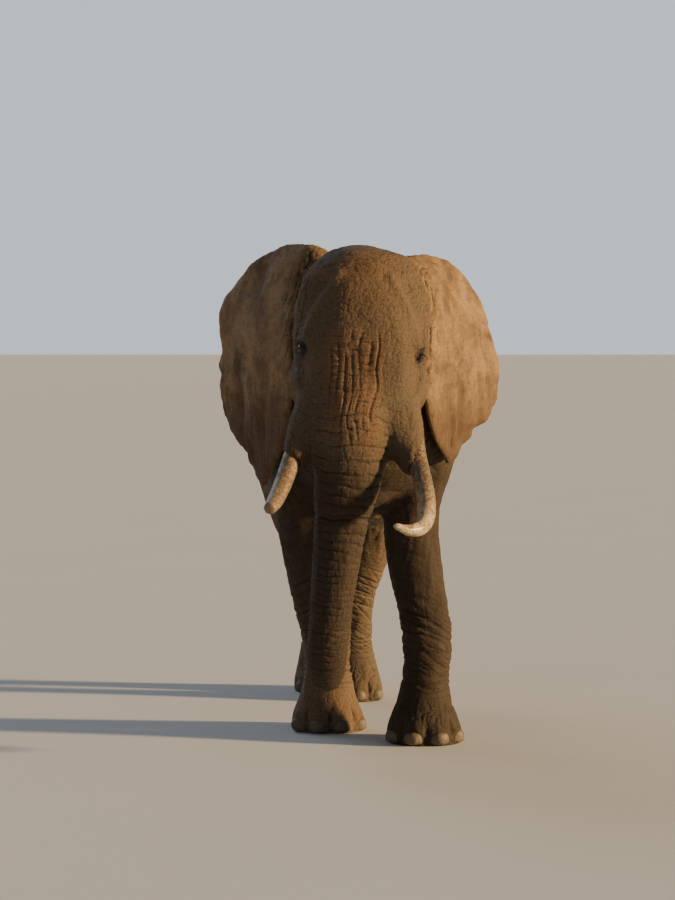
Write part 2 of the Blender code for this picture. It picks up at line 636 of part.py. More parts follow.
def slab(middle, normal, half_u, half_v, collection):
    """A thin square blade; half_u runs along X where it can, half_v across it."""
    normal = Vector(normal).normalized()
    side = Vector((1, 0, 0)) if abs(normal.x) < 0.9 else Vector((0, 1, 0))
    side = (side - normal * side.dot(normal)).normalized()
    other = normal.cross(side)
    turn = Matrix((side, other, normal)).transposed().to_4x4()
    bm = bmesh.new()
    bmesh.ops.create_cube(bm, size=1.0)
    size = Matrix.Diagonal((2 * half_u, 2 * half_v, GAP, 1))
    bmesh.ops.transform(bm, matrix=Matrix.Translation(middle) @ turn @ size, verts=bm.verts)
    return new_object("blade", mesh_of(bm, "blade"), collection)


def split_by_label(body, collection):
    """Makes each loose piece of the parted body an object of its own, named by the label nearest it."""
    bm = bmesh.new()
    bm.from_mesh(body.data)
    groups = [group for group in loose_groups(bm) if len(group) > 12]
    left = dict(LABELS)
    pieces = {}
    for group in sorted(groups, key=len, reverse=True):
        low = Vector([min(vert.co[i] for vert in group) for i in range(3)])
        high = Vector([max(vert.co[i] for vert in group) for i in range(3)])
        middle = (low + high) / 2
        if not left:
            break
        name = min(left, key=lambda label: (Vector(left[label]) - middle).length)
        del left[name]
        own = bm.copy()
        own.verts.ensure_lookup_table()
        mine = {vert.index for vert in group}
        bmesh.ops.delete(own, geom=[v for v in own.verts if v.index not in mine], context="VERTS")
        mesh = bpy.data.meshes.new(name)
        own.to_mesh(mesh)
        own.free()
        pieces[name] = new_object(name, mesh, collection, SKIN)
    bm.free()
    bpy.data.objects.remove(body)
    return pieces


def surface_of(obj):
    bm = bmesh.new()
    bm.from_mesh(obj.data)
    tree = BVHTree.FromBMesh(bm)
    bm.free()
    return tree


def tidy_mesh(obj):
    """Merges the slivers that the cuts leave and makes every face a triangle."""
    bm = bmesh.new()
    bm.from_mesh(obj.data)
    bmesh.ops.triangulate(bm, faces=bm.faces)
    bmesh.ops.dissolve_degenerate(bm, edges=bm.edges, dist=0.00005)
    bmesh.ops.triangulate(bm, faces=bm.faces)
    bmesh.ops.recalc_face_normals(bm, faces=bm.faces)
    bm.to_mesh(obj.data)
    bm.free()


def bounds_of(objects):
    points = [obj.matrix_world @ Vector(corner) for obj in objects for corner in obj.bound_box]
    low = Vector([min(p[i] for p in points) for i in range(3)])
    high = Vector([max(p[i] for p in points) for i in range(3)])
    return low, high


def place(parts):
    """Gives each piece its origin at its middle, under an empty that sets the whole on the floor."""
    low, high = bounds_of(parts.objects)
    root = bpy.data.objects.new("african_elephant_root", None)
    for obj in list(parts.objects):
        piece_low, piece_high = bounds_of([obj])
        middle = (piece_low + piece_high) / 2
        obj.data.transform(Matrix.Translation(-middle))
        obj.location = middle
        obj.parent = root
    parts.objects.link(root)
    root.location = (-(low.x + high.x) / 2, -(low.y + high.y) / 2, -low.z)


def main():
    clear_scene()
    parts = new_collection("african_elephant")
    tools = new_collection("cutters")
    body = fused_body(parts)
    stand_on_floor(body, tools)
    whole = surface_of(body)

    eyes = [eye("eye_left", 1, whole, parts), eye("eye_right", -1, whole, parts)]
    tusks = [tusk("tusk_left", LEFT_TUSK, parts), tusk("tusk_right", RIGHT_TUSK, parts)]
    for inset in eyes + tusks:
        boolean(body, swollen(inset, FIT, inset.name + "_socket", tools))

    around_body = swollen(body, FIT, "around_body", tools)
    tail = new_object("tail", loft("tail", TAIL, 2, 10), parts, SKIN)
    tuft = new_object("tail_tuft", loft("tail_tuft", TUFT, 2, 8), parts, HAIR)
    boolean(tuft, swollen(tail, FIT, "around_tail", tools))
    ears = [
        ear("ear_left", LEFT_EAR_ROOT, LEFT_EAR_EDGE, parts),
        ear("ear_right", RIGHT_EAR_ROOT, RIGHT_EAR_EDGE, parts),
    ]
    nails = []
    for foot, (bearings, half_width, half_height) in NAILS.items():
        middle = Vector(LABELS[foot])
        middle.z = NAIL_MIDDLE
        for number, bearing in enumerate(bearings, 1):
            name = f"nail_{foot}_{number}"
            nails.append(
                nail(name, middle, math.radians(bearing), half_width, half_height, whole, parts)
            )
    for outer in [tail, *ears, *nails]:
        boolean(outer, around_body)
        largest_piece(outer)

    for middle, normal, half_u, half_v in CUTS.values():
        boolean(body, slab(middle, normal, half_u, half_v, tools))
    split_by_label(body, parts)
    for obj in parts.objects:
        tidy_mesh(obj)
    for obj in tools.objects:
        obj.hide_render = True
        obj.display_type = "WIRE"
    bpy.context.view_layer.update()
    place(parts)


main()
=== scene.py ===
# %% [markdown]
# # African elephant bull, walking
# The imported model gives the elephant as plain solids: a barrel, a neck, a head, a trunk in four
# lengths, four legs, ears, tusks, eyes and toenails. This file dresses it. The hide is one closed
# skin over all the solids of flesh, with the folds that loose skin makes. Tusks, nails and eyes
# stay pieces of their own, and the few hairs that an elephant has are grown last.

import json
import math

import bmesh
import bpy
import numpy as np
from mathutils import Matrix, Vector
from mathutils.bvhtree import BVHTree
from mathutils.kdtree import KDTree

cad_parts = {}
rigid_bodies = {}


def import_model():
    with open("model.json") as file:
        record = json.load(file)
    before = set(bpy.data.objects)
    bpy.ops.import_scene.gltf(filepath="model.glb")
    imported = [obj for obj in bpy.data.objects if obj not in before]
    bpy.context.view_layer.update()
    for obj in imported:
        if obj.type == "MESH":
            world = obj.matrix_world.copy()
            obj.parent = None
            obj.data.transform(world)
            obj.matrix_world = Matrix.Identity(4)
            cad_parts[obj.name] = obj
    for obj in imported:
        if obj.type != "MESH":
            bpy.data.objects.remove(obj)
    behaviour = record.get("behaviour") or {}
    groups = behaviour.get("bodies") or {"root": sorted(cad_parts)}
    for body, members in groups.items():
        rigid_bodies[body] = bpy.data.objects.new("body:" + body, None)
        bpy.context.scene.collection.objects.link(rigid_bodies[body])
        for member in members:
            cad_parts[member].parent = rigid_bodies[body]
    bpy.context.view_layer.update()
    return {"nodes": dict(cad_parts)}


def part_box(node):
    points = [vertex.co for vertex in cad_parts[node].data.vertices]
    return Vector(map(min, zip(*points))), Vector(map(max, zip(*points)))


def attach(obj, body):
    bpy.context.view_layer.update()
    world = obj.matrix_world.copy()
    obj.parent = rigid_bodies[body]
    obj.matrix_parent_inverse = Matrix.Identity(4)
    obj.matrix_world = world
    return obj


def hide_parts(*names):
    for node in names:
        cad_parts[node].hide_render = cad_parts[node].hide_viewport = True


for leftover in list(bpy.data.objects):
    bpy.data.objects.remove(leftover, do_unlink=True)
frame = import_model()
nodes = frame["nodes"]

# %% [markdown]
# ## Where things are
# Every place below comes from the solids. The two eyes give the head its own axes: across from
# eye to eye, back into the skull, and up. Features of the face are then placed in those axes, so
# they follow the slight turn and tilt of the head.

# %% Take the face's axes from the eyes
def middle_of(node):
    low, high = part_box(node)
    return np.array((low + high) / 2)


FACE_MIDDLE = (middle_of("eye_left") + middle_of("eye_right")) / 2
across = Vector(middle_of("eye_left") - middle_of("eye_right")).normalized()
backward = Vector((0, 0, 1)).cross(across).normalized()
FACE_AXES = np.array((across, backward, across.cross(backward)))


def in_face(points):
    return (points - FACE_MIDDLE) @ FACE_AXES.T


print("between the eyes:", FACE_MIDDLE.round(3))

# %% [markdown]
# ## Small tools for meshes
# Arrays of numbers are much faster than loops over single points, so meshes are read into arrays,
# worked on there, and written back.

# %% Read and write meshes as arrays
def taken(items, label, width, kind=np.int32):
    """One property of all items of a mesh, as an array with a row of width numbers for each."""
    values = np.empty(len(items) * width, kind)
    items.foreach_get(label, values)
    return values.reshape(-1, width) if width > 1 else values


def read_points(mesh):
    return taken(mesh.vertices, "co", 3, np.float32).astype(float)


def read_mesh(mesh):
    mesh.calc_loop_triangles()
    return read_points(mesh), taken(mesh.loop_triangles, "vertices", 3)


def welded(points, triangles):
    """The same surface with each corner stored once. An import repeats it for each face."""
    single, where = np.unique(points.round(5), axis=0, return_inverse=True)
    return single, where.ravel()[triangles]


def write_mesh(name, points, faces):
    """A mesh of triangles or of quads, from an array of points and one of corner numbers."""
    mesh = bpy.data.meshes.new(name)
    count, sides = faces.shape
    mesh.vertices.add(len(points))
    mesh.vertices.foreach_set("co", np.asarray(points, np.float32).ravel())
    mesh.loops.add(count * sides)
    mesh.loops.foreach_set("vertex_index", faces.astype(np.int32).ravel())
    mesh.polygons.add(count)
    mesh.polygons.foreach_set("loop_start", np.arange(0, count * sides, sides, dtype=np.int32))
    mesh.update(calc_edges=True)
    return mesh


def new_piece(name, mesh, smooth=True):
    piece = bpy.data.objects.new(name, mesh)
    bpy.context.scene.collection.objects.link(piece)
    if smooth:
        mesh.shade_smooth()
    return piece


def unit(vectors, least=1e-12):
    """Vectors made one metre long, with those shorter than least left shorter."""
    return vectors / np.maximum(np.linalg.norm(vectors, axis=-1, keepdims=True), least)


def face_normals(points, triangles):
    a, b, c = (points[triangles[:, k]] for k in range(3))
    return unit(np.cross(b - a, c - a))


# %% [markdown]
# ## Curved patches in place of flat facets
# The solids are made of flat triangles. A curved patch over each triangle passes through its
# three corners and leaves each corner at right angles to the surface's normal there, so
# neighbours meet without a kink. This is the point-normal triangle, and it brings back the round
# form that the facets stand for.

# %% Bend a patch over each triangle
def corner_normals(points, triangles, reach=0.0017):
    """One normal for all the corners within reach of each other, so that a cut between two solids
    doesn't show in it."""
    normals = face_normals(points, triangles)
    sums = np.zeros_like(points)
    for k in range(3):
        to_next = points[triangles[:, (k + 1) % 3]] - points[triangles[:, k]]
        to_last = points[triangles[:, (k + 2) % 3]] - points[triangles[:, k]]
        lengths = np.linalg.norm(to_next, axis=1) * np.linalg.norm(to_last, axis=1)
        angle = np.arccos(np.clip((to_next * to_last).sum(1) / np.maximum(lengths, 1e-12), -1, 1))
        np.add.at(sums, triangles[:, k], normals * angle[:, None])
    used = np.unique(triangles)
    tree = KDTree(len(used))
    for i in used:
        tree.insert(points[i], i)
    tree.balance()
    shared = np.zeros_like(points)
    for i in used:
        shared[i] = sum(sums[j] for _, j, _ in tree.find_range(points[i], reach))
    return unit(shared)


def bent_patches(points, triangles, normals, cuts):
    """Each triangle as cuts * cuts small ones on its curved patch."""
    p = [points[triangles[:, k]] for k in range(3)]
    n = [normals[triangles[:, k]] for k in range(3)]

    def control(i, j):
        lift = ((p[j] - p[i]) * n[i]).sum(1, keepdims=True)
        return (2 * p[i] + p[j] - lift * n[i]) / 3

    edge = {(i, j): control(i, j) for i in range(3) for j in range(3) if i != j}
    mean_edge = sum(edge.values()) / 6
    centre = mean_edge + (mean_edge - sum(p) / 3) / 2
    grid = [(i, j) for i in range(cuts + 1) for j in range(cuts + 1 - i)]
    number = {ij: k for k, ij in enumerate(grid)}
    made = []
    for i, j in grid:
        u, v = i / cuts, j / cuts
        share = (1 - u - v, u, v)
        place = sum(p[k] * share[k] ** 3 for k in range(3)) + 6 * centre * u * v * share[0]
        for (k, m), handle in edge.items():
            place = place + 3 * handle * share[k] ** 2 * share[m]
        made.append(place)
    small = []
    for i, j in grid:
        if i + j < cuts:
            small.append((number[i, j], number[i + 1, j], number[i, j + 1]))
        if i + j < cuts - 1:
            small.append((number[i + 1, j], number[i + 1, j + 1], number[i, j + 1]))
    offsets = np.arange(len(triangles))[:, None, None] * len(grid)
    return np.stack(made, 1).reshape(-1, 3), (np.array(small)[None] + offsets).reshape(-1, 3)


# %% [markdown]
# ## Which faces are hide
# A solid of flesh also has faces that nobody sees: the two sides of each cut, and the pockets
# that hold an eye, a tusk or a nail. A short ray from each face, straight outward, finds the
# neighbour that covers it. Faces covered by flesh are left out, because the hide runs on over the
# cut.

# %% Sort the faces of the flesh
FLESH = sorted(name for name, node in nodes.items()
               if node.data.materials[0].name.startswith("skin"))
HARD = sorted(set(nodes) - set(FLESH))
COVER = 0.0016  # a neighbour nearer than this covers a face
OFF_FACE = 5e-5  # where a ray starts, so that it misses its own face
FACING = -0.7  # a cover faces the other way, as told by the cosine between the two normals
ON_FLOOR = 1e-3


def gathered(names):
    points, triangles, owners = [], [], []
    start = 0
    for number, name in enumerate(names):
        own_points, own_triangles = welded(*read_mesh(nodes[name].data))
        points.append(own_points)
        triangles.append(own_triangles + start)
        owners.append(np.full(len(own_triangles), number))
        start += len(own_points)
    return np.concatenate(points), np.concatenate(triangles), np.concatenate(owners)


flesh_points, flesh_triangles, flesh_owner = gathered(FLESH)
hard_points, hard_triangles, hard_owner = gathered(HARD)
everything = BVHTree.FromPolygons(
    np.concatenate((flesh_points, hard_points)).tolist(),
    np.concatenate((flesh_triangles, hard_triangles + len(flesh_points))).tolist(),
)
flesh_normals = face_normals(flesh_points, flesh_triangles)
flesh_centres = flesh_points[flesh_triangles].mean(1)
hide, hidden, soles = [], [], []
for number, (centre, normal) in enumerate(zip(flesh_centres, flesh_normals)):
    ray = Vector(normal)
    hit, hit_normal, _, _ = everything.ray_cast(Vector(centre + normal * OFF_FACE), ray, COVER)
    covered = hit is not None and hit_normal.dot(ray) < FACING
    (hidden if covered else soles if centre[2] < ON_FLOOR else hide).append(number)
print("faces of hide:", len(hide), "soles:", len(soles), "covered:", len(hidden))

# %% [markdown]
# ## One closed skin
# The patches, the flat faces under them and the solids of nails and eyes are poured into one
# voxel remesh. It closes the hair-thin cuts and gives an even net of quads, which suits folding
# later on. A roll of skin is added along each ear's root, where a real ear is thickest.

# %% Fuse the flesh into one skin
VOXEL = 0.0125
PATCH_CUTS = 5
CUFF = 0.024  # half the thickness of the roll of skin at the ear's root
CUFF_BEADS = 50
CUFF_INWARD, CUFF_BACK = 0.010, 0.004  # how far the roll lies from the line of the root
EAR_ROOTS = {
    "left": [
        (0.168, -1.107, 3.050), (0.301, -1.216, 2.900), (0.349, -1.320, 2.700),
        (0.361, -1.361, 2.450), (0.341, -1.359, 2.220), (0.382, -1.272, 2.020),
        (0.512, -1.010, 1.790),
    ],
    "right": [
        (-0.231, -1.079, 3.090), (-0.397, -1.167, 2.920), (-0.459, -1.263, 2.700),
        (-0.487, -1.301, 2.450), (-0.476, -1.292, 2.220), (-0.505, -1.200, 1.980),
        (-0.626, -0.851, 1.640),
    ],
}


def evenly(line, count):
    """The line again, with its points the same distance apart."""
    line = np.array(line)
    reach = np.r_[0, np.cumsum(np.linalg.norm(np.diff(line, axis=0), axis=1))]
    places = np.linspace(0, reach[-1], count)
    return np.stack([np.interp(places, reach, line[:, k]) for k in range(3)], 1)


def roll_of_skin(side):
    """Beads along the ear's root, from the top of the head to the cheek, that fuse to a roll."""
    work = bmesh.new()
    bmesh.ops.create_icosphere(work, subdivisions=2, radius=CUFF)
    bead = np.array([v.co for v in work.verts])
    faces = np.array([[v.index for v in f.verts] for f in work.faces])
    work.free()
    inward = math.copysign(CUFF_INWARD, EAR_ROOTS[side][1][0])
    line = evenly(EAR_ROOTS[side][1:5], CUFF_BEADS) - (inward, -CUFF_BACK, 0)
    points = (line[:, None] + bead[None]).reshape(-1, 3)
    starts = np.arange(CUFF_BEADS)[:, None, None] * len(bead)
    return points, (faces[None] + starts).reshape(-1, 3)


hide_triangles = flesh_triangles[hide]
hide_normals = corner_normals(flesh_points, hide_triangles)
patch_points, patch_triangles = bent_patches(flesh_points, hide_triangles, hide_normals, PATCH_CUTS)
flat_triangles = flesh_triangles[hidden + soles]
plug_triangles = hard_triangles[[not HARD[o].startswith(("tusk", "tail")) for o in hard_owner]]
soup_points, soup_triangles = patch_points, patch_triangles
rolls = [roll_of_skin(side) for side in EAR_ROOTS]
for points, triangles in [(flesh_points, flat_triangles), (hard_points, plug_triangles)] + rolls:
    soup_triangles = np.concatenate((soup_triangles, triangles + len(soup_points)))
    soup_points = np.concatenate((soup_points, points))


def remeshed(name, points, triangles, voxel):
    """One even net of quads round all the triangles, without the stray cubes of a remesh."""
    source = new_piece(name, write_mesh(name, points, triangles), smooth=False)
    modifier = source.modifiers.new("voxels", "REMESH")
    modifier.mode = "VOXEL"
    modifier.voxel_size = voxel
    graph = bpy.context.evaluated_depsgraph_get()
    mesh = bpy.data.meshes.new_from_object(source.evaluated_get(graph))
    bpy.data.objects.remove(source, do_unlink=True)
    work = bmesh.new()
    work.from_mesh(mesh)
    corners = {v for v in work.verts if len(v.link_edges) == 3}
    specks = [v for v in corners if all(e.other_vert(v) in corners for e in v.link_edges)]
    bmesh.ops.delete(work, geom=specks, context="VERTS")
    work.to_mesh(mesh)
    work.free()
    print(len(specks), "points of stray cubes removed")
    return mesh


skin_mesh = remeshed("skin_net", soup_points, soup_triangles, VOXEL)
print("net:", len(skin_mesh.vertices), "points,", len(skin_mesh.polygons), "faces")

# %% [markdown]
# ## A finer net where the eye looks first
# The face, trunk and feet carry the finest folds, and the eyelids are finer still. Only those
# parts of the net are divided again, so the flanks don't grow heavy for nothing.

# %% Divide the net on the face, trunk and feet
def refined(mesh, chosen):
    """Splits in four each face of which all corners are chosen."""
    picked = chosen(read_points(mesh))
    work = bmesh.new()
    work.from_mesh(mesh)
    work.verts.ensure_lookup_table()
    edges = [e for e in work.edges if picked[e.verts[0].index] and picked[e.verts[1].index]]
    bmesh.ops.subdivide_edges(work, edges=edges, cuts=1, use_grid_fill=True)
    work.to_mesh(mesh)
    work.free()


def near(points, places, reach):
    found = np.zeros(len(points), bool)
    for place in places:
        found |= ((points - place) ** 2).sum(1) < reach**2
    return found


EYES = {side: middle_of(f"eye_{side}") for side in ("left", "right")}
NAILS = sorted(name for name in nodes if name.startswith("nail"))
NAIL_MIDDLES = [middle_of(name) for name in NAILS]
BEHIND_FACE = FACE_MIDDLE[1] + 0.47
PASTERN, WRIST = 0.33, 0.95  # heights of the joints of the leg that folds gather round
refined(skin_mesh, lambda p: (p[:, 1] < BEHIND_FACE) | (p[:, 2] < WRIST))
refined(skin_mesh, lambda p: near(p, NAIL_MIDDLES, 0.075) | near(p, EYES.values(), 0.13))
refined(skin_mesh, lambda p: near(p, EYES.values(), 0.075))
refined(skin_mesh, lambda p: near(p, EYES.values(), 0.050))
skin_points = read_points(skin_mesh)
skin_edges = taken(skin_mesh.edges, "vertices", 2)
print("finer net:", len(skin_points), "points")

# %% [markdown]
# ## Smoothing without shrinking
# Averaging each point with its neighbours irons the net but also shrinks it. Taubin's way is a
# step in and a slightly longer step out, over and over: ripples die away and the size stays.

# %% Iron the net
neighbours = np.bincount(skin_edges.ravel(), minlength=len(skin_points)).astype(float)
one_end, other_end = skin_edges[:, 0], skin_edges[:, 1]


def averaged(values):
    """The mean of each point's neighbours, for one value or three to a point."""
    columns = values.reshape(len(values), -1)
    sums = [
        np.bincount(one_end, columns[other_end, k], len(values))
        + np.bincount(other_end, columns[one_end, k], len(values))
        for k in range(columns.shape[1])
    ]
    return (np.stack(sums, 1) / neighbours[:, None]).reshape(values.shape)


def spread(values, rounds):
    for _ in range(rounds):
        values = (values + averaged(values)) / 2
    return values


def ironed(points, rounds, inward=0.50, outward=0.52):
    for _ in range(rounds):
        points = points + inward * (averaged(points) - points)
        points = points - outward * (averaged(points) - points)
    return points


skin_points = ironed(skin_points, 30)
skin_points[:, 2] = np.maximum(skin_points[:, 2], 0)


def set_points(mesh, points):
    mesh.vertices.foreach_set("co", np.asarray(points, np.float32).ravel())
    mesh.update()


def normals_now(mesh, points):
    set_points(mesh, points)
    return taken(mesh.vertices, "normal", 3, np.float32).astype(float)


# %% [markdown]
# ## Which part of the body a point is on
# The solids are named, so the nearest solid names each point of the skin. Folds differ from part
# to part, and a mask that fades over some centimetres lets one kind run into the next.

# %% Name the part under each point
outside = np.array(hide + soles)
outside_tree = BVHTree.FromPolygons(flesh_points.tolist(), flesh_triangles[outside].tolist())
nearest_outside = np.array([outside_tree.find_nearest(p)[2] for p in skin_points.tolist()])
part_of = flesh_owner[outside[nearest_outside]]


def on_parts(*words, rounds=24):
    """1 on the parts whose names hold one of the words, fading to 0 round them."""
    wanted = [k for k, name in enumerate(FLESH) if any(word in name for word in words)]
    return spread(np.isin(part_of, wanted).astype(float), rounds)


print("parts:", {FLESH[k]: int(c) for k, c in enumerate(np.bincount(part_of))})

# %% [markdown]
# ## Noise, and the creases made from it
# Loose skin folds in long wandering lines. Smooth noise has such lines in it: where its value
# passes zero. Stretching the noise along one direction makes the lines run that way. A crease is
# deepest on the line and rises on both sides to a swollen ridge, as in real hide.

# %% Noise and creases
chance = np.random.default_rng(11)
SHUFFLE = chance.permutation(256)
ARROWS = unit(chance.normal(size=(256, 3)))


def noise(points, size, seed=0):
    """Smooth noise of about -1 to 1, with swells about size across, alike or in x, y and z."""
    placed = points / np.asarray(size, float) + seed * 17.31
    cell = np.floor(placed).astype(np.int64)
    inside = placed - cell
    ease = inside**3 * (inside * (inside * 6 - 15) + 10)
    total = np.zeros(len(points))
    for corner in np.ndindex(2, 2, 2):
        key = SHUFFLE[(cell[:, 0] + corner[0]) & 255]
        key = SHUFFLE[(key + cell[:, 1] + corner[1]) & 255]
        key = SHUFFLE[(key + cell[:, 2] + corner[2]) & 255]
        weight = np.prod(np.where(corner, ease, 1 - ease), axis=1)
        total += weight * (ARROWS[key] * (inside - corner)).sum(1)
    return total * 1.7


def crease(value, width):
    """1 where value passes zero, falling steeply to 0 on both sides."""
    return np.exp(-np.abs(value) / width)


def rise(value, low, high):
    """0 below low, 1 above high, and a smooth step between."""
    t = np.clip((value - low) / (high - low), 0, 1)
    return t * t * (3 - 2 * t)


def bell(value, middle, width):
    return np.exp(-(((value - middle) / width) ** 2))


def folds(points, size, seed, width=0.10):
    """Two sets of wandering creases, the second fainter and finer."""
    sway = noise(points, np.max(size), seed + 5)[:, None] * np.max(size) * 0.12
    first = crease(noise(points + sway, size, seed), width)
    second = crease(noise(points - sway, np.asarray(size) * 0.55, seed + 1), width * 1.2)
    return np.maximum(first, 0.6 * second)


HIP_ROUNDS = 100
HIP_STEP = 0.85
hips = rise(skin_points[:, 2], 2.20, 2.45) * bell(skin_points[:, 1], 1.0, 0.34)
for _ in range(HIP_ROUNDS):  # hide and fat round off the corners of the hip bones
    skin_points += (HIP_STEP * hips)[:, None] * (averaged(skin_points) - skin_points)

depth = np.zeros(len(skin_points))  # how far each point goes in, in metres
face = in_face(skin_points)


def press(amount, where=1.0):
    """Pushes the skin in by amount, in metres, where the mask is."""
    depth[:] += amount * where


def crumple(amount, where, size, seed, width=0.10, about="X", degrees=0, points=skin_points):
    """Presses wandering creases in where the mask is. A turn about an axis slants them."""
    spots = np.flatnonzero(where > 0.01)
    local = points[spots]
    if degrees:
        local = local @ np.array(Matrix.Rotation(math.radians(degrees), 3, about)).T
    depth[spots] += amount * where[spots] * folds(local, size, seed, width)


print("noise ready")

# %% [markdown]
# ## Folds of the body, neck and legs
# The hide hangs loosest on the neck, the flank, the back of the thighs and under the chest. There
# the folds are deep and mostly upright. At the wrists and above the feet, where the leg bends,
# they run across it. Everywhere else the skin is crossed by a fine slanting net.

# %% Fold the body and legs
trunk_part = on_parts("trunk", rounds=30)
head_part = on_parts("head", "jaw")
neck_part = on_parts("neck", rounds=50)
ear_part = on_parts("ear", rounds=6)
tail_part = on_parts("tail", rounds=6)
leg_part = on_parts("leg", "foot", rounds=40)
rump_part = on_parts("hindquarters", "hind_leg", rounds=40)
chest_part = on_parts("shoulders", "foreleg_left_upper", "foreleg_right_upper", rounds=40)
side_part = on_parts("barrel", "shoulders", "hindquarters", rounds=20)
height = skin_points[:, 2]

patchy = rise(noise(skin_points, 0.55, 3), -0.45, 0.35)
for amount, where, size, seed, slant in (
    (0.0090, neck_part, (0.16, 0.085, 0.50), 1, 12),
    (0.0048, rump_part * patchy, (0.13, 0.12, 0.80), 4, -14),
    (0.0048, chest_part * patchy, (0.12, 0.12, 0.80), 8, 18),
    (0.0032, side_part, (0.40, 0.10, 0.60), 12, 34),
    (0.0028, side_part, (0.40, 0.12, 0.70), 16, -50),
):
    crumple(amount, where, size, seed, degrees=slant)
press(-0.012, side_part * noise(skin_points, 0.34, 20))
belly = side_part * rise(height, 1.75, 1.40)
crumple(0.007, belly, (0.085, 0.45, 0.30), 22)

wrist = bell(height, 0.70, 0.22)
pastern = bell(height, 0.40, 0.095)
left_leg = rise(skin_points[:, 0], -0.02, 0.06)
for leg, slant in ((left_leg, -30), (1 - left_leg, 28)):
    shank = leg_part * leg * rise(height, 0.24, 0.42)
    crumple(0.0140, shank * (0.35 + 0.65 * wrist), (0.90, 0.80, 0.080), 24, 0.12, "Y", slant)
    crumple(0.0065, shank * (0.40 + 0.60 * wrist), (0.60, 0.60, 0.032), 28, 0.20, "Y", 0.8 * slant)
crumple(0.0120, leg_part * pastern, (0.70, 0.70, 0.034), 32, 0.20, "Y", 3)
crumple(0.0060, leg_part * bell(height, 0.20, 0.09), (0.060, 0.060, 0.30), 34, 0.16)
crumple(0.0045, leg_part * rise(height, 0.75, 1.0), (0.13, 0.12, 0.50), 35, 0.14)
crumple(0.0030, tail_part, (0.10, 0.10, 0.022), 36, 0.14)
print("deepest fold of the body: %.1f mm" % (depth.max() * 1000))

# %% [markdown]
# ## Rings of the trunk
# A trunk has no bones, and its skin gathers in rings. They are wide and untidy near the tusks and
# close and even near the tip. A line through the middle of the trunk gives each point its
# distance along it. Rings are drawn on that distance, pushed about by noise so that some run
# together and some die out.

# %% Gather the trunk in rings
TRUNK_LINE = np.array([
    (-0.096, -1.589, 2.340, 0.265), (-0.127, -1.668, 2.120, 0.260), (-0.150, -1.716, 1.920, 0.235),
    (-0.169, -1.740, 1.720, 0.207), (-0.205, -1.742, 1.470, 0.168), (-0.238, -1.725, 1.200, 0.146),
    (-0.264, -1.693, 0.930, 0.132), (-0.281, -1.647, 0.700, 0.125), (-0.283, -1.561, 0.555, 0.115),
    (-0.277, -1.447, 0.505, 0.101), (-0.264, -1.342, 0.550, 0.088), (-0.250, -1.283, 0.650, 0.076),
    (-0.244, -1.270, 0.740, 0.065),
])


def finely(line, steps=12):
    """A smooth curve through the rows of a line."""
    slopes = np.gradient(line, axis=0)
    t = np.arange(steps)[:, None] / steps
    runs = [
        (1 + 2 * t) * (1 - t) ** 2 * a + t * (1 - t) ** 2 * da
        + t**2 * (3 - 2 * t) * b - t**2 * (1 - t) * db
        for a, b, da, db in zip(line, line[1:], slopes, slopes[1:])
    ]
    return np.concatenate(runs + [line[-1:]])


def nearest_on(line, points, group=20000):
    """For each point, the number of the line's nearest row."""
    return np.concatenate([
        ((points[k:k + group, None] - line[None, :, :3]) ** 2).sum(2).argmin(1)
        for k in range(0, len(points), group)
    ])


trunk_line = finely(TRUNK_LINE)
trunk_reach = np.r_[0, np.cumsum(np.linalg.norm(np.diff(trunk_line[:, :3], axis=0), axis=1))]
trunk_runs = unit(np.gradient(trunk_line[:, :3], axis=0))
RING_WIDTHS = np.interp(trunk_reach, (0, 0.5, 0.9, 1.3, 1.8, 2.5),
                        (0.085, 0.070, 0.056, 0.043, 0.032, 0.022))
ring_counts = np.r_[0, np.cumsum(np.diff(trunk_reach) / RING_WIDTHS[1:])]

beside_trunk = (head_part > 0.4) & (face[:, 1] < 0.1) & (face[:, 2] < 0.2)
near_trunk = np.flatnonzero((trunk_part > 0.01) | beside_trunk)
beside = skin_points[near_trunk]
row = nearest_on(trunk_line, beside)
offset = beside - trunk_line[row, :3]
along = trunk_reach[row] + (offset * trunk_runs[row]).sum(1)
swayed = along + 0.030 * noise(beside, (0.22, 0.22, 0.30), 40) + 0.010 * noise(beside, 0.08, 41)
ring = np.interp(swayed, trunk_reach, ring_counts)
ring_depth = np.interp(along, (0, 0.5, 0.75, 1.1, 1.6, 2.5),
                       (0.0040, 0.0095, 0.0130, 0.0105, 0.0080, 0.0040))
faded = 0.35 + 0.65 * rise(noise(beside, (0.12, 0.12, 0.07), 42), -0.5, 0.25)
rings = np.exp(-np.abs(np.sin(np.pi * ring)) / 0.30) * faded
fine_rings = crease(noise(beside, (0.10, 0.10, 0.016), 43), 0.16)
front = rise(0.30 - np.abs(face[near_trunk, 0] + 0.02), 0.0, 0.12)
upper = rise(along, 0.02, 0.35)
reach_in = np.zeros(len(skin_points))
reach_in[near_trunk] = np.maximum(trunk_part[near_trunk], front * upper) * (
    ring_depth * rings + 0.0018 * fine_rings
)
press(1.0, reach_in)
CREASE_HEIGHT = 1.485
DEEP_CREASE = trunk_reach[np.abs(trunk_line[:, 2] - CREASE_HEIGHT).argmin()]
deep = np.zeros(len(skin_points))
deep[near_trunk] = trunk_part[near_trunk] * bell(swayed, DEEP_CREASE, 0.012)
press(0.016, deep)
crumple(0.0035, trunk_part * rise(skin_points[:, 2], 0.3, 0.8), (0.050, 0.050, 0.20), 46, 0.12)
print("rings on the trunk:", round(float(ring_counts[-1])))

# %% [markdown]
# ## The face
# A bull's forehead is a broad dome with a bony ridge on each side. Outside each ridge the temple
# sinks in. Upright grooves run down the root of the trunk, and the skin is pleated where the ears
# join the head.

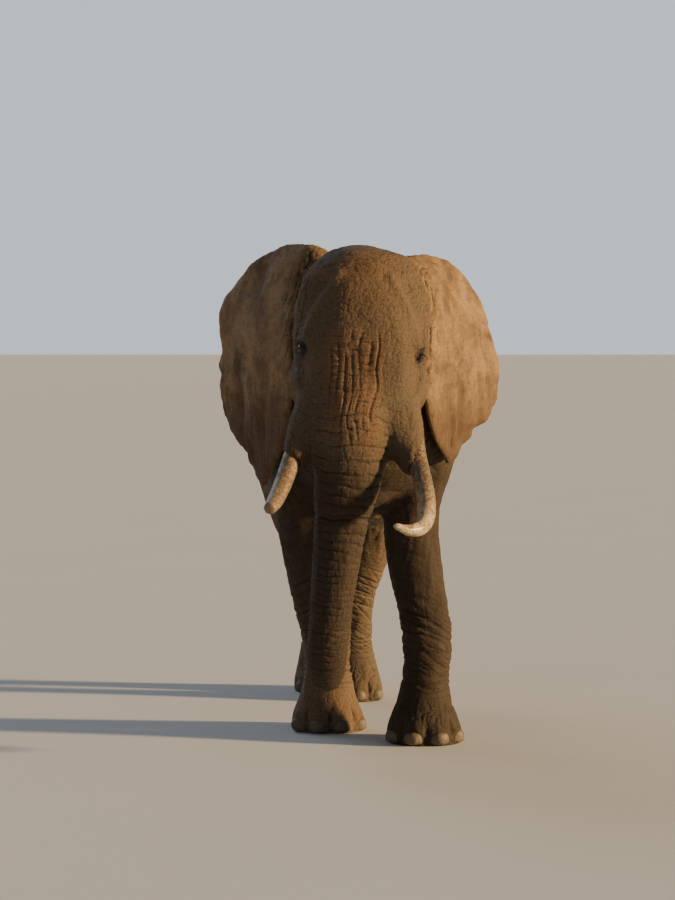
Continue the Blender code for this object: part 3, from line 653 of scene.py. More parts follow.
# %% Shape the temples, brow and root of the trunk
def along_path(values, path, width):
    """A soft band along a path of points across and up the face."""
    best = np.full(len(values), 1e9)
    for a, b in zip(path, path[1:]):
        a, b = np.array(a), np.array(b)
        t = np.clip((values - a) @ (b - a) / ((b - a) @ (b - a)), 0, 1)
        best = np.minimum(best, np.linalg.norm(values - a - t[:, None] * (b - a), axis=1))
    return np.exp(-((best / width) ** 2))


on_front = head_part * rise(0.16 - face[:, 1], 0.0, 0.15)
flat_face = face[:, (0, 2)]
pleated = np.zeros(len(skin_points))
for side in (-1, 1):
    mirrored = flat_face * (side, 1)
    ridge = along_path(mirrored, [(0.16, 0.46), (0.25, 0.33), (0.335, 0.16), (0.35, 0.07)], 0.028)
    hollow = along_path(mirrored, [(0.27, 0.40), (0.36, 0.26), (0.40, 0.15)], 0.055)
    press(-0.012, on_front * ridge)
    press(0.022, head_part * rise(0.30 - face[:, 1], 0.0, 0.15) * hollow)
    cheek = along_path(mirrored, [(0.37, -0.10), (0.33, -0.25), (0.31, -0.40)], 0.05)
    press(0.007, on_front * cheek)
    join = [
        (0.345, 0.57), (0.390, 0.45), (0.420, 0.30), (0.430, 0.15), (0.425, 0.0), (0.400, -0.12)]
    swayed_face = mirrored + 0.020 * np.stack((noise(face, 0.11, 64), noise(face, 0.11, 65)), 1)
    facing_front = rise(0.62 - face[:, 1], 0.0, 0.12) * np.clip(head_part + ear_part, 0, 1)
    pleated = np.maximum(pleated, facing_front * along_path(swayed_face, join, 0.058))
    press(0.006, facing_front * along_path(swayed_face, join, 0.011))
crumple(0.0150, pleated, (0.044, 0.095, 0.34), 66, 0.19, "Y", -9, points=face)
crumple(0.0045, pleated, (0.070, 0.120, 0.028), 68, 0.20, "Y", -35, points=face)
arc = along_path(flat_face, [(-0.24, 0.50), (-0.10, 0.555), (0.06, 0.56), (0.22, 0.50)], 0.010)
press(0.004, on_front * arc)
streaks = rise(0.20 - np.abs(flat_face[:, 0] + 0.03), 0.0, 0.07)
streaks *= rise(flat_face[:, 1], -0.62, -0.40)
streaks *= rise(0.20 - flat_face[:, 1], 0.0, 0.15)
for column, spacing, swing, sway_size, sway_seed, amount, gap_size, gap_seed, gap_low in (
    (0, 0.048, 0.8, (0.14, 0.3, 0.22), 49, 0.0060, (0.06, 0.3, 0.11), 48, -0.6),  # upright grooves
    (1, 0.052, 1.1, (0.11, 0.3, 0.12), 52, 0.0034, (0.08, 0.3, 0.06), 53, -0.5),  # level pleats
):
    turns = flat_face[:, column] / spacing + swing * noise(face, sway_size, sway_seed)
    lines = bell(np.abs(np.sin(np.pi * turns)), 0, 0.50)
    press(amount, on_front * streaks * lines * rise(noise(face, gap_size, gap_seed), gap_low, 0.3))
for amount, where, size, seed, width in (
    (0.0028, on_front * streaks, (0.036, 0.20, 0.42), 50, 0.22),
    (0.0045, on_front * streaks, (0.22, 0.20, 0.036), 54, 0.16),
    (0.0030, head_part * (1 - streaks), (0.10, 0.07, 0.040), 58, 0.15),
    (0.0030, head_part * (1 - streaks), (0.045, 0.07, 0.100), 62, 0.15),
):
    crumple(amount, where, size, seed, width, points=face)
press(-0.005, head_part * noise(face, 0.15, 60))
print("face shaped")

# %% [markdown]
# ## Eyelids
# The eye is a small ball deep in loose skin. Skin that lies over the ball becomes lid, a little
# proud of it, and inside the almond-shaped opening it is drawn back behind the ball. Four creases
# follow the lids like ripples, and the socket round them is slightly sunk.

# %% Open the eyelids
BALL = {side: float((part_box(f"eye_{side}")[1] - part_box(f"eye_{side}")[0])[2]) / 2 for side in EYES}
LID = 0.0035
OPENING = (0.0290, 0.0155, 0.0115)  # half length, height above and below the line of the corners
EYE_LEAN = 0.20  # how far the line of the corners drops towards the trunk, in radians
RIPPLES = ((0.0065, 0.0022), (0.014, 0.0030), (0.024, 0.0028), (0.036, 0.0022))  # place and depth
looks = {}
skin_normals = normals_now(skin_mesh, skin_points)
moved = np.zeros_like(skin_points)
hide_centres = flesh_centres[hide]
for side, middle in EYES.items():
    close = np.linalg.norm(hide_centres - middle, axis=1) < 0.16
    outward = Vector(flesh_normals[hide][close].mean(0)).normalized()
    lengthwise = outward.cross(Vector((0, 0, 1))).normalized()
    if lengthwise.y > 0:
        lengthwise.negate()  # towards the trunk
    upright = lengthwise.cross(outward) if side == "left" else outward.cross(lengthwise)
    if upright.z < 0:
        upright.negate()
    lengthwise, upright = (
        lengthwise * math.cos(EYE_LEAN) - upright * math.sin(EYE_LEAN),
        upright * math.cos(EYE_LEAN) + lengthwise * math.sin(EYE_LEAN),
    )
    looks[side] = (lengthwise, upright, outward)
    offset = skin_points - middle
    radius = np.linalg.norm(offset, axis=1)
    a, b, c = (offset @ np.array(axis) for axis in looks[side])
    half, above, below = OPENING
    shape = np.clip(1 - (a / half) ** 2, -3, 1)
    inside = np.minimum(above * shape - b, b + below * shape)
    here = (radius < 0.05) & (c > 0.002)
    lid_radius = np.maximum(radius, BALL[side] + LID)
    lid_radius += (radius - lid_radius) * rise(radius, 0.034, 0.048)
    drawn_back = rise(inside, -0.0006, 0.0016)
    target = lid_radius + (BALL[side] - 0.007 - lid_radius) * drawn_back
    moved[here] += (offset / radius[:, None] * (target - radius)[:, None])[here]
    oval = np.sqrt((a / half) ** 2 + (b / np.where(b > 0, above, below)) ** 2)
    uneven = 0.0012 * noise(skin_points, 0.03, 70)
    outside_by = np.hypot(a, b) * (1 - 1 / np.maximum(oval, 1.0)) + uneven
    around = (c > -0.02) * rise(0.11 - radius, 0, 0.05)
    upper_lid = np.where(b > 0, 1.0, 0.75)
    for ripple, strength in RIPPLES:
        press(strength, around * upper_lid * bell(outside_by, ripple, 0.0018 + ripple * 0.09))
    press(0.009, around * bell(outside_by, 0.026, 0.014) * np.where(b > 0, 1.0, 0.5))
    press(-0.012, around * bell(a, 0, 0.05) * bell(b, 0.060, 0.018))
print("eyelids open", {side: round(r, 4) for side, r in BALL.items()})

# %% [markdown]
# ## Ears
# An ear is a thin blade on a ruled net: one direction runs round its free edge, the other from
# its root to the edge. Flutes run out from the root and grow towards the edge, most on the lower
# half, and move both faces of the blade together. Thorns and fights leave nicks in the edge.

# %% Flute the ears
EAR_EDGES = {
    "left": (
        [
            (0.168, -1.107, 3.050), (0.323, -1.037, 3.090), (0.451, -0.926, 3.085),
            (0.587, -0.775, 3.020), (0.692, -0.642, 2.920), (0.774, -0.548, 2.800),
            (0.858, -0.463, 2.576), (0.897, -0.456, 2.360), (0.885, -0.495, 2.200),
            (0.836, -0.552, 2.100), (0.751, -0.656, 2.040), (0.617, -0.857, 1.870),
            (0.512, -1.010, 1.790),
        ],
        ((0.60, 0.016), (0.815, 0.012)),
    ),
    "right": (
        [
            (-0.231, -1.079, 3.090), (-0.336, -1.011, 3.145), (-0.451, -0.923, 3.157),
            (-0.542, -0.796, 3.140), (-0.633, -0.670, 3.085), (-0.738, -0.512, 2.980),
            (-0.821, -0.416, 2.870), (-0.877, -0.352, 2.770), (-0.905, -0.320, 2.690),
            (-0.890, -0.331, 2.610), (-0.869, -0.338, 2.555), (-0.888, -0.301, 2.440),
            (-0.883, -0.301, 2.240), (-0.848, -0.374, 2.070), (-0.730, -0.613, 1.855),
            (-0.626, -0.851, 1.640),
        ],
        ((0.615, 0.022), (0.80, 0.012), (0.88, 0.010)),
    ),
}
EAR_NET = (90, 16)  # places round the edge, and from root to edge
FLUTES, FLUTE_DEPTH, BILLOW_DEPTH = 5.5, 0.006, 0.016
DRAPE_WIDTH, DRAPE_DEPTH = 0.105, 0.0085  # of the upright folds in which the lower ear hangs
NICK_WIDTH = 0.010  # as a share of the way round the edge

ear_out = np.zeros(len(skin_points))  # from 0 at the ear's root to 1 at its edge
ear_root = np.zeros(len(skin_points))
ear_valley_shade = np.zeros(len(skin_points))
for side, (edge, nicks) in EAR_EDGES.items():
    root, edge = evenly(EAR_ROOTS[side], EAR_NET[0]), evenly(edge, EAR_NET[0])
    t = np.linspace(0, 1, EAR_NET[1])[None, :, None]
    net = root[:, None] * (1 - t) + edge[:, None] * t
    own = on_parts(f"ear_{side}", rounds=3)
    chosen = np.flatnonzero(own > 0.05)
    spot = nearest_on(net.reshape(-1, 3), skin_points[chosen], 8000)
    round_it, out = spot // EAR_NET[1] / (EAR_NET[0] - 1), spot % EAR_NET[1] / (EAR_NET[1] - 1)
    smooth = np.zeros((len(skin_points), 2))
    smooth[chosen] = np.stack((round_it, out), 1)
    for _ in range(8):
        smooth[chosen] = averaged(smooth)[chosen]
    round_it, out = smooth[chosen].T
    ear_out[chosen] = np.maximum(ear_out[chosen], out)
    blade = unit(np.cross(np.gradient(net, axis=0), np.gradient(net, axis=1)).reshape(-1, 3)[spot])
    blade *= -np.sign(blade[:, 1:2])  # forwards
    here = skin_points[chosen]
    lower = rise(round_it, 0.42, 0.62)
    wave = 0.5 * noise(here, 0.20, 80) + 0.02
    flutes = np.sin(math.tau * (FLUTES * round_it + wave)) * FLUTE_DEPTH
    hang = rise(2.62 - here[:, 2], 0.0, 0.40)
    drape = np.sin(math.tau * (here[:, 0] / DRAPE_WIDTH + 0.9 * noise(here, (0.2, 0.2, 0.5), 84)))
    drape = (drape + 0.5 * noise(here, (0.030, 0.030, 0.30), 87)) * hang * rise(out, 0.10, 0.35)
    # Painted shade in the valleys of the drape folds, mixed with random patches from noise.
    valley = np.clip(-0.8 * drape + 0.45 * noise(here, (0.10, 0.10, 0.26), 84), 0, 1)
    ear_valley_shade[chosen] = np.maximum(ear_valley_shade[chosen], own[chosen] * valley)
    billow = noise(here, 0.28, 81) * BILLOW_DEPTH
    lift = own[chosen] * (rise(out, 0.15, 0.8) * (flutes + billow) + DRAPE_DEPTH * drape)
    outward = (edge - root)[np.minimum((round_it * (EAR_NET[0] - 1)).astype(int), EAR_NET[0] - 1)]
    outward = unit(outward, 0.05)
    ragged = 0.010 * np.abs(noise(here, 0.11, 82)) * (0.3 + 0.7 * lower)
    ragged = ragged + 0.005 * np.abs(noise(here, 0.04, 83)) * lower
    for place, bite in nicks:
        ragged = ragged + bite * bell(round_it, place, NICK_WIDTH)
    moved[chosen] += blade * lift[:, None]
    moved[chosen] -= outward * (own[chosen] * rise(out, 0.88, 1.0) * ragged)[:, None]
    to_root = np.sqrt(((skin_points[:, None, :] - root[None, ::6, :]) ** 2).sum(2).min(1))
    ear_root = np.maximum(ear_root, rise(to_root, 0.02, 0.06) * rise(0.17 - to_root, 0, 0.09))
ear_join = 4 * ear_part * (1 - ear_part)
for amount, part, size, seed, width in (
    (0.0075, head_part, (0.045, 0.055, 0.36), 85, 0.14),
    (0.0060, ear_part, (0.060, 0.055, 0.40), 86, 0.13),
):
    crumple(amount, ear_root * part * (1 - ear_join) * (1 - pleated), size, seed, width)
crumple(0.0018, ear_part * rise(ear_out, 0.1, 0.3), (0.10, 0.10, 0.12), 88)
print("ears fluted")

# %% [markdown]
# ## Feet, mouth and the tip of the trunk
# Each toenail is a plate in the front of the foot with a fold of skin round it and a groove
# between toes. The mouth is a slit under the cheeks, and the trunk ends in two nostrils between
# its two fingers.

# %% Set the toes, the lips and the nostrils
NAIL_HALF = {"fore": (0.067, 0.044), "hind": (0.062, 0.042)}  # half width and half height
NOSTRIL_APART, NOSTRIL_RADIUS, NOSTRIL_DEPTH = 0.021, 0.020, 0.030
nail_axes = {}
for name in NAILS:
    foot = name.split("_")[1] + "_" + name.split("_")[2]
    low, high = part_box(foot)
    heart = np.array(((low.x + high.x) / 2, (low.y + high.y) / 2, 0))
    middle = middle_of(name)
    outward = (middle - heart) * (1, 1, 0)
    outward /= np.linalg.norm(outward)
    sideways = np.array((-outward[1], outward[0], 0))
    nail_axes[name] = (middle, outward, sideways)
    half_width, half_height = NAIL_HALF[name[5:9]]
    offset = skin_points - middle
    a, b, c = offset @ sideways, offset[:, 2], offset @ outward
    size = np.sqrt((a / half_width) ** 2 + (b / half_height) ** 2)
    here = (np.abs(c) < 0.07) & (size < 2.6)
    press(-0.0025, here * bell(size, 1.20, 0.14) * rise(b, -0.045, -0.02))
    toe = (np.abs(c) < 0.09) & (np.abs(a) < 0.12)
    press(-0.0110, toe * bell(a, 0, 0.050) * bell(b, 0.045, 0.060))
    for edge in (-1, 1):
        groove = toe * bell(a, edge * 0.078, 0.014) * rise(0.20 - height, 0, 0.12)
        press(0.0080, groove * rise(height, 0.0, 0.015))
foot_part = on_parts("foot", rounds=12)
crumple(0.0025, foot_part, (0.05, 0.05, 0.09), 90, 0.13)

jaw_part = on_parts("lower_jaw", rounds=3)
lips = 4 * jaw_part * (1 - jaw_part) * rise(FACE_MIDDLE[1] + 0.36 - skin_points[:, 1], 0, 0.08)
press(0.016, lips * rise(2.02 - height, 0, 0.06))

tip, tip_run = trunk_line[-1, :3], trunk_runs[-1]
tip_side = np.cross(tip_run, (0, 1, 0))
tip_side /= np.linalg.norm(tip_side)
from_tip = skin_points - tip
past_tip = from_tip @ tip_run
at_tip = (past_tip > -0.02) * (np.linalg.norm(from_tip, axis=1) < 0.12)
beside_axis = from_tip - past_tip[:, None] * tip_run
for side in (-1, 1):
    apart = np.linalg.norm(beside_axis - tip_side * side * NOSTRIL_APART, axis=1)
    hole = rise(NOSTRIL_RADIUS - apart, 0, 0.010) * at_tip
    moved -= tip_run * (NOSTRIL_DEPTH * hole)[:, None]
print("toes:", len(NAILS))

# %% [markdown]
# ## The finished surface
# All the folds are pressed in at once. How far a point lies below its own surroundings is kept
# with the mesh, and the colours use it: the creases get dirt and painted shade, and dust lies on
# what stands proud.

# %% Press the folds in and measure the creases
rest_points = skin_points.copy()
fine_hollow = depth - spread(depth, 5)
broad_hollow = depth - spread(depth, 40)
ways_in = unit(spread(skin_normals, 8), 1e-6)
skin_points = skin_points - depth[:, None] * ways_in + moved
standing = rest_points[:, 2] < 0.004
skin_points[standing, 2] = rest_points[standing, 2]
skin_points[:, 2] = np.maximum(skin_points[:, 2], 0)
skin_normals = normals_now(skin_mesh, skin_points)
hollow = np.clip(fine_hollow / 0.0022, -1, 1) * 0.55 + np.clip(broad_hollow / 0.006, -1, 1) * 0.45


def keep(mesh, name, values):
    attribute = mesh.attributes.new(name, "FLOAT", "POINT")
    attribute.data.foreach_set("value", np.asarray(values, np.float32))


keep(skin_mesh, "hollow", hollow)
keep(skin_mesh, "ear", ear_part)
keep(skin_mesh, "ear_valley_shade", ear_valley_shade)
# Darker and redder towards the bottom of the ear.
keep(skin_mesh, "ear_low", ear_part * rise(2.35 - skin_points[:, 2], 0.0, 0.40))
keep(skin_mesh, "streaks", on_front * streaks)
dome = on_front * rise(flat_face[:, 1], 0.20, 0.45) * bell(flat_face[:, 0], -0.02, 0.20)
back_dust = side_part * rise(skin_normals[:, 2], 0.35, 0.85)
# Partly real dust and partly painted light: the lower right legs get pale soil colour and lose most of
# the painted front shade.
right_feet_dust_and_painted_light = leg_part * (1 - left_leg) * rise(0.62 - height, 0, 0.40)
settled = dome + 0.8 * back_dust + 0.55 * on_front * streaks + 0.60 * right_feet_dust_and_painted_light
keep(skin_mesh, "dust", np.clip(settled, 0, 1))
to_eyes = [np.linalg.norm(rest_points - middle, axis=1) for middle in EYES.values()]
# Painted shade: the skin round each eye is darkened almost to black, like a shadowed socket. The
# stream from the gland in the temple is a real dark stain.
painted_socket_shade = sum(rise(0.080 - to_eye, 0.0, 0.040) for to_eye in to_eyes)
GLAND = [(0.395, 0.12), (0.40, 0.0), (0.385, -0.12), (0.36, -0.22)]  # where its stream runs down
gland = sum(along_path(flat_face * (side, 1), GLAND, 0.022) for side in (-1, 1))
gland = gland * head_part * rise(0.32 - face[:, 1], 0, 0.1)
keep(skin_mesh, "eye_shade_and_gland_stain", np.clip(0.90 * painted_socket_shade + 0.35 * gland, 0, 1))
# Painted shade: the trunk, chest and forelegs below the head are darkened as if out of the sun; the
# lower right legs keep most of their own colour.
fore = rise(-0.15 - skin_points[:, 1], 0, 0.45) * (1 - ear_part)
keep(skin_mesh, "painted_front_shade", fore * rise(2.05 - height, 0, 0.4) * (1 - 0.85 * right_feet_dust_and_painted_light))
print("hollow from %.2f to %.2f" % (hollow.min(), hollow.max()))

# %% [markdown]
# ## An unwrap of the skin
# The plain solids have few faces, so they unwrap quickly and cleanly. Each face of the fine skin
# then takes its place on the unwrap from the plain face under it, stretched by the same amount.

# %% Unwrap the plain faces and carry the unwrap over
UNWRAP = "OFBake"
guide_mesh = write_mesh("guide", flesh_points, flesh_triangles[outside])
guide = new_piece("guide", guide_mesh, smooth=False)
bpy.ops.object.select_all(action="DESELECT")
guide.select_set(True)
bpy.context.view_layer.objects.active = guide
bpy.ops.object.mode_set(mode="EDIT")
bpy.ops.mesh.select_all(action="SELECT")
bpy.ops.uv.smart_project(angle_limit=1.15, island_margin=0.004)
bpy.ops.object.mode_set(mode="OBJECT")
guide_uv = taken(guide_mesh.uv_layers.active.data, "uv", 2, np.float32)
guide_uv = guide_uv.astype(float).reshape(-1, 3, 2)
bpy.data.objects.remove(guide, do_unlink=True)


def unwrapped(points, plain_faces):
    """Where points land on the unwrap, each by the plain face that it is told."""
    a, b, c = (flesh_points[flesh_triangles[outside][plain_faces][:, k]] for k in range(3))
    one, two, off = b - a, c - a, points - a
    aa, ab, bb = (one * one).sum(1), (one * two).sum(1), (two * two).sum(1)
    oa, ob = (off * one).sum(1), (off * two).sum(1)
    area = np.maximum(aa * bb - ab * ab, 1e-14)
    share = np.clip(np.stack((bb * oa - ab * ob, aa * ob - ab * oa), 1) / area[:, None], -0.8, 1.8)
    uv = guide_uv[plain_faces]
    return uv[:, 0] + share[:, :1] * (uv[:, 1] - uv[:, 0]) + share[:, 1:] * (uv[:, 2] - uv[:, 0])


loop_corner = taken(skin_mesh.loops, "vertex_index", 1)
loop_start = taken(skin_mesh.polygons, "loop_start", 1)
loop_face = np.repeat(np.arange(len(loop_start)), np.diff(np.r_[loop_start, len(loop_corner)]))
plain_face = nearest_outside[loop_corner[loop_start]][loop_face]
skin_uv = unwrapped(rest_points[loop_corner], plain_face)
skin_mesh.uv_layers.new(name=UNWRAP).data.foreach_set("uv", skin_uv.astype(np.float32).ravel())
print("unwrap from", skin_uv.min(0).round(3), "to", skin_uv.max(0).round(3))

# %% [markdown]
# ## Materials, and effects that they share
# Three effects come back on more than one part of the animal, so each is a node group built once:
# a net of cracks, long grain lines, and dust that settles in patches. A group only gives out
# colours, masks and heights. The shader stays in the material of each part, with its own values.

# %% Helpers for shader nodes
def add(tree, kind, inputs=None, **settings):
    made = tree.nodes.new("ShaderNode" + kind)
    for name, value in settings.items():
        setattr(made, name, value)
    for name, value in (inputs or {}).items():
        if isinstance(value, bpy.types.NodeSocket):
            tree.links.new(value, made.inputs[name])
        else:
            made.inputs[name].default_value = value
    return made


def object_place(tree):
    return add(tree, "TexCoord").outputs["Object"]


def cloudy(tree, place, scale, detail, roughness=0.5):
    """Soft noise from 0 to 1, with scale as its swells per metre."""
    inputs = {"Vector": place, "Scale": scale, "Detail": detail, "Roughness": roughness}
    return add(tree, "TexNoise", inputs).outputs[0]


def blend(tree, factor, one, two):
    """One colour mixed into another."""
    return add(tree, "Mix", {0: factor, 6: one, 7: two}, data_type="RGBA").outputs[2]


def figure(tree, operation, *values):
    return add(tree, "Math", dict(enumerate(values)), operation=operation).outputs[0]


def times(tree, one, two):
    return figure(tree, "MULTIPLY", one, two)


def between(tree, value, low, high, to_low=0.0, to_high=1.0):
    """A value's run from low to high, made into a run from to_low to to_high, and held there."""
    ends = {"From Min": low, "From Max": high, "To Min": to_low, "To Max": to_high}
    return add(tree, "MapRange", {"Value": value, **ends}, clamp=True).outputs[0]


def colour(red, green, blue):
    return (red, green, blue, 1.0)


def coated(tree, tone, *coats):
    """A tone under coats of colour, each with its mask, how much it covers and its colour."""
    for mask, most, shade in coats:
        tone = blend(tree, times(tree, mask, most), tone, colour(*shade))
    return tone


def finished(tree, shader, tone, roughness, *heights, strength=0.5, distance=0.002):
    """Links the tone, the roughness and a bump of heights, each with its weight, to the shader."""
    tree.links.new(tone, shader.inputs["Base Color"])
    tree.links.new(roughness, shader.inputs["Roughness"])
    if heights:
        total, *others = [times(tree, height, weight) for height, weight in heights]
        for other in others:
            total = figure(tree, "ADD", total, other)
        bump = add(tree, "Bump", {"Height": total, "Strength": strength, "Distance": distance})
        tree.links.new(bump.outputs[0], shader.inputs["Normal"])


def effect(name, inputs, outputs):
    """An empty node group with named sockets."""
    group = bpy.data.node_groups.new(name, "ShaderNodeTree")
    for label, kind, value in inputs:
        socket = group.interface.new_socket(label, in_out="INPUT", socket_type="NodeSocket" + kind)
        if value is not None:
            socket.default_value = value
    for label, kind in outputs:
        group.interface.new_socket(label, in_out="OUTPUT", socket_type="NodeSocket" + kind)
    given, wanted = group.nodes.new("NodeGroupInput"), group.nodes.new("NodeGroupOutput")
    return group, given.outputs, wanted.inputs


def placed(tree, group, **inputs):
    """A node group in a material, with its inputs given in lower case."""
    named = {name.replace("_", " ").capitalize(): value for name, value in inputs.items()}
    return add(tree, "Group", named, node_tree=group).outputs


def new_material(name):
    made = bpy.data.materials.new(name)
    made.use_nodes = True
    tree = made.node_tree
    return made, tree, tree.nodes["Principled BSDF"]


print("helpers ready")

# %% [markdown]
# ### A net of cracks
# Elephant hide is crossed by a net of fine cracks round small raised plates, which hold water and
# mud. A Voronoi pattern gives the plates, and noise that shifts its coordinates makes them
# uneven.

# %% Build the net of cracks
net_of_cracks, given, wanted = effect(
    "Net of cracks",
    [("Place", "Vector", None), ("Plate size", "Float", 0.02), ("Unevenness", "Float", 0.5)],
    [("Height", "Float"), ("Crack", "Float"), ("Plate", "Float")],
)
tree = net_of_cracks
per_metre = figure(tree, "DIVIDE", 1.0, given["Plate size"])
shift = add(tree, "TexNoise", {"Vector": given["Place"], "Scale": 9.0, "Detail": 3.0})
middle = (0.5, 0.5, 0.5)
lean = add(tree, "VectorMath", {0: shift.outputs["Color"], 1: middle}, operation="SUBTRACT")
reach = times(tree, given["Unevenness"], 0.09)
lean = add(tree, "VectorMath", {0: lean.outputs[0], "Scale": reach}, operation="SCALE")
leaning = add(tree, "VectorMath", {0: given["Place"], 1: lean.outputs[0]}, operation="ADD")
cell_inputs = {"Vector": leaning.outputs[0], "Scale": per_metre}
to_edge = add(tree, "TexVoronoi", cell_inputs, feature="DISTANCE_TO_EDGE").outputs["Distance"]
plates = add(tree, "TexVoronoi", cell_inputs, feature="F1").outputs["Color"]
tree.links.new(between(tree, to_edge, 0.0, 0.22), wanted["Height"])
tree.links.new(between(tree, to_edge, 0.0, 0.07, 1.0, 0.0), wanted["Crack"])
tree.links.new(add(tree, "SeparateColor", {0: plates}).outputs[0], wanted["Plate"])
print(net_of_cracks.name, len(net_of_cracks.nodes), "nodes")

# %% [markdown]
# ### Grain lines
# Tusks and nails grow in one direction, and both show long faint lines along their growth. Noise
# on coordinates that are squeezed along one axis gives such lines.

# %% Build the grain lines
grain_lines, given, wanted = effect(
    "Grain lines",
    [("Place", "Vector", None), ("Lines per metre", "Float", 200.0),
     ("Squeeze", "Vector", (1.0, 1.0, 0.1))],
    [("Height", "Float"), ("Line", "Float")],
)
tree = grain_lines
squeezed = add(tree, "VectorMath", {0: given["Place"], 1: given["Squeeze"]}, operation="MULTIPLY")
lines = cloudy(tree, squeezed.outputs[0], given["Lines per metre"], 5.0)
tree.links.new(lines, wanted["Height"])
tree.links.new(between(tree, lines, 0.56, 0.68), wanted["Line"])
print(grain_lines.name, len(grain_lines.nodes), "nodes")

# %% [markdown]
# ### Dust
# The red soil of the plain lies on everything: more on what faces up, in soft patches, with
# grains in it.

# %% Build the dust
dust, given, wanted = effect(
    "Dust",
    [("Place", "Vector", None), ("Clean colour", "Color", colour(0.2, 0.2, 0.2)),
     ("Dust colour", "Color", colour(0.33, 0.20, 0.12)), ("Amount", "Float", 0.3),
     ("Patch size", "Float", 0.3)],
    [("Colour", "Color")],
)
tree = dust
patches = cloudy(tree, given["Place"], figure(tree, "DIVIDE", 1.0, given["Patch size"]), 6.0)
grains = cloudy(tree, given["Place"], 160.0, 2.0)
facing = add(tree, "SeparateXYZ", {0: add(tree, "NewGeometry").outputs["Normal"]}).outputs[2]
lying = between(tree, facing, -0.2, 1.0, 0.0, 0.35)
cover = figure(tree, "ADD", between(tree, patches, 0.35, 0.68, 0.0, 0.65), lying)
cover = times(tree, cover, between(tree, grains, 0.25, 0.6, 0.6, 1.0))
amount = {0: cover, 1: given["Amount"]}
cover = add(tree, "Math", amount, operation="MULTIPLY", use_clamp=True).outputs[0]
tree.links.new(blend(tree, cover, given["Clean colour"], given["Dust colour"]), wanted["Colour"])


def dusted(tree, place, tone, shade, amount, patch_size):
    """The tone with dust on it."""
    return placed(
        tree, dust, place=place, clean_colour=tone, dust_colour=colour(*shade), amount=amount,
        patch_size=patch_size,
    )["Colour"]


print(dust.name, len(dust.nodes), "nodes")

# %% [markdown]
# ## Hide
# The hide is a brown grey with the red of the soil worked into it. Creases are dark with dirt and
# painted shade, crests are worn pale, upright streaks on the root of the trunk are red brown, and
# the ears are sandier and smoother, with painted shade in the valleys of their folds. Painted shade
# also darkens the trunk, chest and forelegs, and the skin round each eye. The masks were kept with
# the mesh when the folds were pressed in.

# %% Finish the hide
hide_finish, tree, shader = new_material("hide")
place = object_place(tree)


def kept(name):
    return add(tree, "Attribute", attribute_name=name).outputs["Fac"]


broad = cloudy(tree, place, 1.7, 7.0, 0.6)
mottle = cloudy(tree, place, 11.0, 6.0, 0.65)
blotch = cloudy(tree, place, 4.5, 8.0, 0.72)
pores = cloudy(tree, place, 330.0, 3.0)
coarse = placed(tree, net_of_cracks, place=place, plate_size=0.026, unevenness=0.6)
fine = placed(tree, net_of_cracks, place=place, plate_size=0.010, unevenness=0.3)
level_lines = placed(
    tree, grain_lines, place=place, lines_per_metre=75.0, squeeze=(0.14, 0.14, 1.0))
ear, painted_front_shade, eye_shade_and_gland_stain, hollow_of = kept("ear"), kept("painted_front_shade"), kept("eye_shade_and_gland_stain"), kept("hollow")
grey, brown = colour(0.074, 0.055, 0.036), colour(0.104, 0.067, 0.037)
sand, bark = colour(0.400, 0.250, 0.118), colour(0.118, 0.062, 0.026)
tone = blend(tree, between(tree, broad, 0.36, 0.64), grey, brown)
tone = blend(tree, between(tree, mottle, 0.38, 0.66, 0.0, 0.38), tone, colour(0.135, 0.092, 0.050))
sandy = blend(tree, between(tree, blotch, 0.40, 0.60), bark, sand)
tone = blend(tree, times(tree, ear, 0.72), tone, sandy)
tone = coated(
    tree, tone,
    # painted shade in the valleys of the ears' folds, partly random patches
    (kept("ear_valley_shade"), 0.55, (0.070, 0.044, 0.025)),
    (kept("ear_low"), 0.82, (0.066, 0.034, 0.017)),
    # painted shade darkens the trunk, chest and forelegs nearly to black
    (painted_front_shade, 0.91, (0.023, 0.013, 0.007)),
    (times(tree, kept("streaks"), between(tree, mottle, 0.30, 0.60)), 0.75, (0.150, 0.060, 0.026)),
    (kept("dust"), 0.70, (0.185, 0.105, 0.054)),
)
plate_shade = between(tree, fine["Plate"], 0.0, 1.0, 0.0, 0.20)
tone = blend(tree, plate_shade, tone, colour(0.040, 0.030, 0.021))
off_ears = between(tree, ear, 0.0, 1.0, 1.0, 0.35)
tone = coated(
    tree, tone,
    (times(tree, coarse["Crack"], 0.36), off_ears, (0.022, 0.016, 0.011)),
    (fine["Crack"], 0.25, (0.025, 0.018, 0.012)),
    (level_lines["Line"], 0.30, (0.029, 0.020, 0.013)),
)
# Dirt and painted shade: the deeper a crease, the nearer to black it is painted.
sunk = between(tree, hollow_of, 0.05, 0.75, 0.0, 0.86)
proud = between(tree, hollow_of, -0.04, -0.45, 0.0, 0.28)
# Little of the pale wear shows where the painted front shade lies.
proud = times(tree, proud, between(tree, painted_front_shade, 0.0, 1.0, 1.0, 0.15))
tone = blend(tree, proud, tone, colour(0.170, 0.116, 0.062))
tone = blend(tree, sunk, tone, colour(0.017, 0.011, 0.007))
# Little dust shows where the painted front shade lies.
dust_amount = between(tree, painted_front_shade, 0.0, 1.0, 0.34, 0.06)
tone = dusted(tree, place, tone, (0.160, 0.092, 0.043), dust_amount, 0.5)
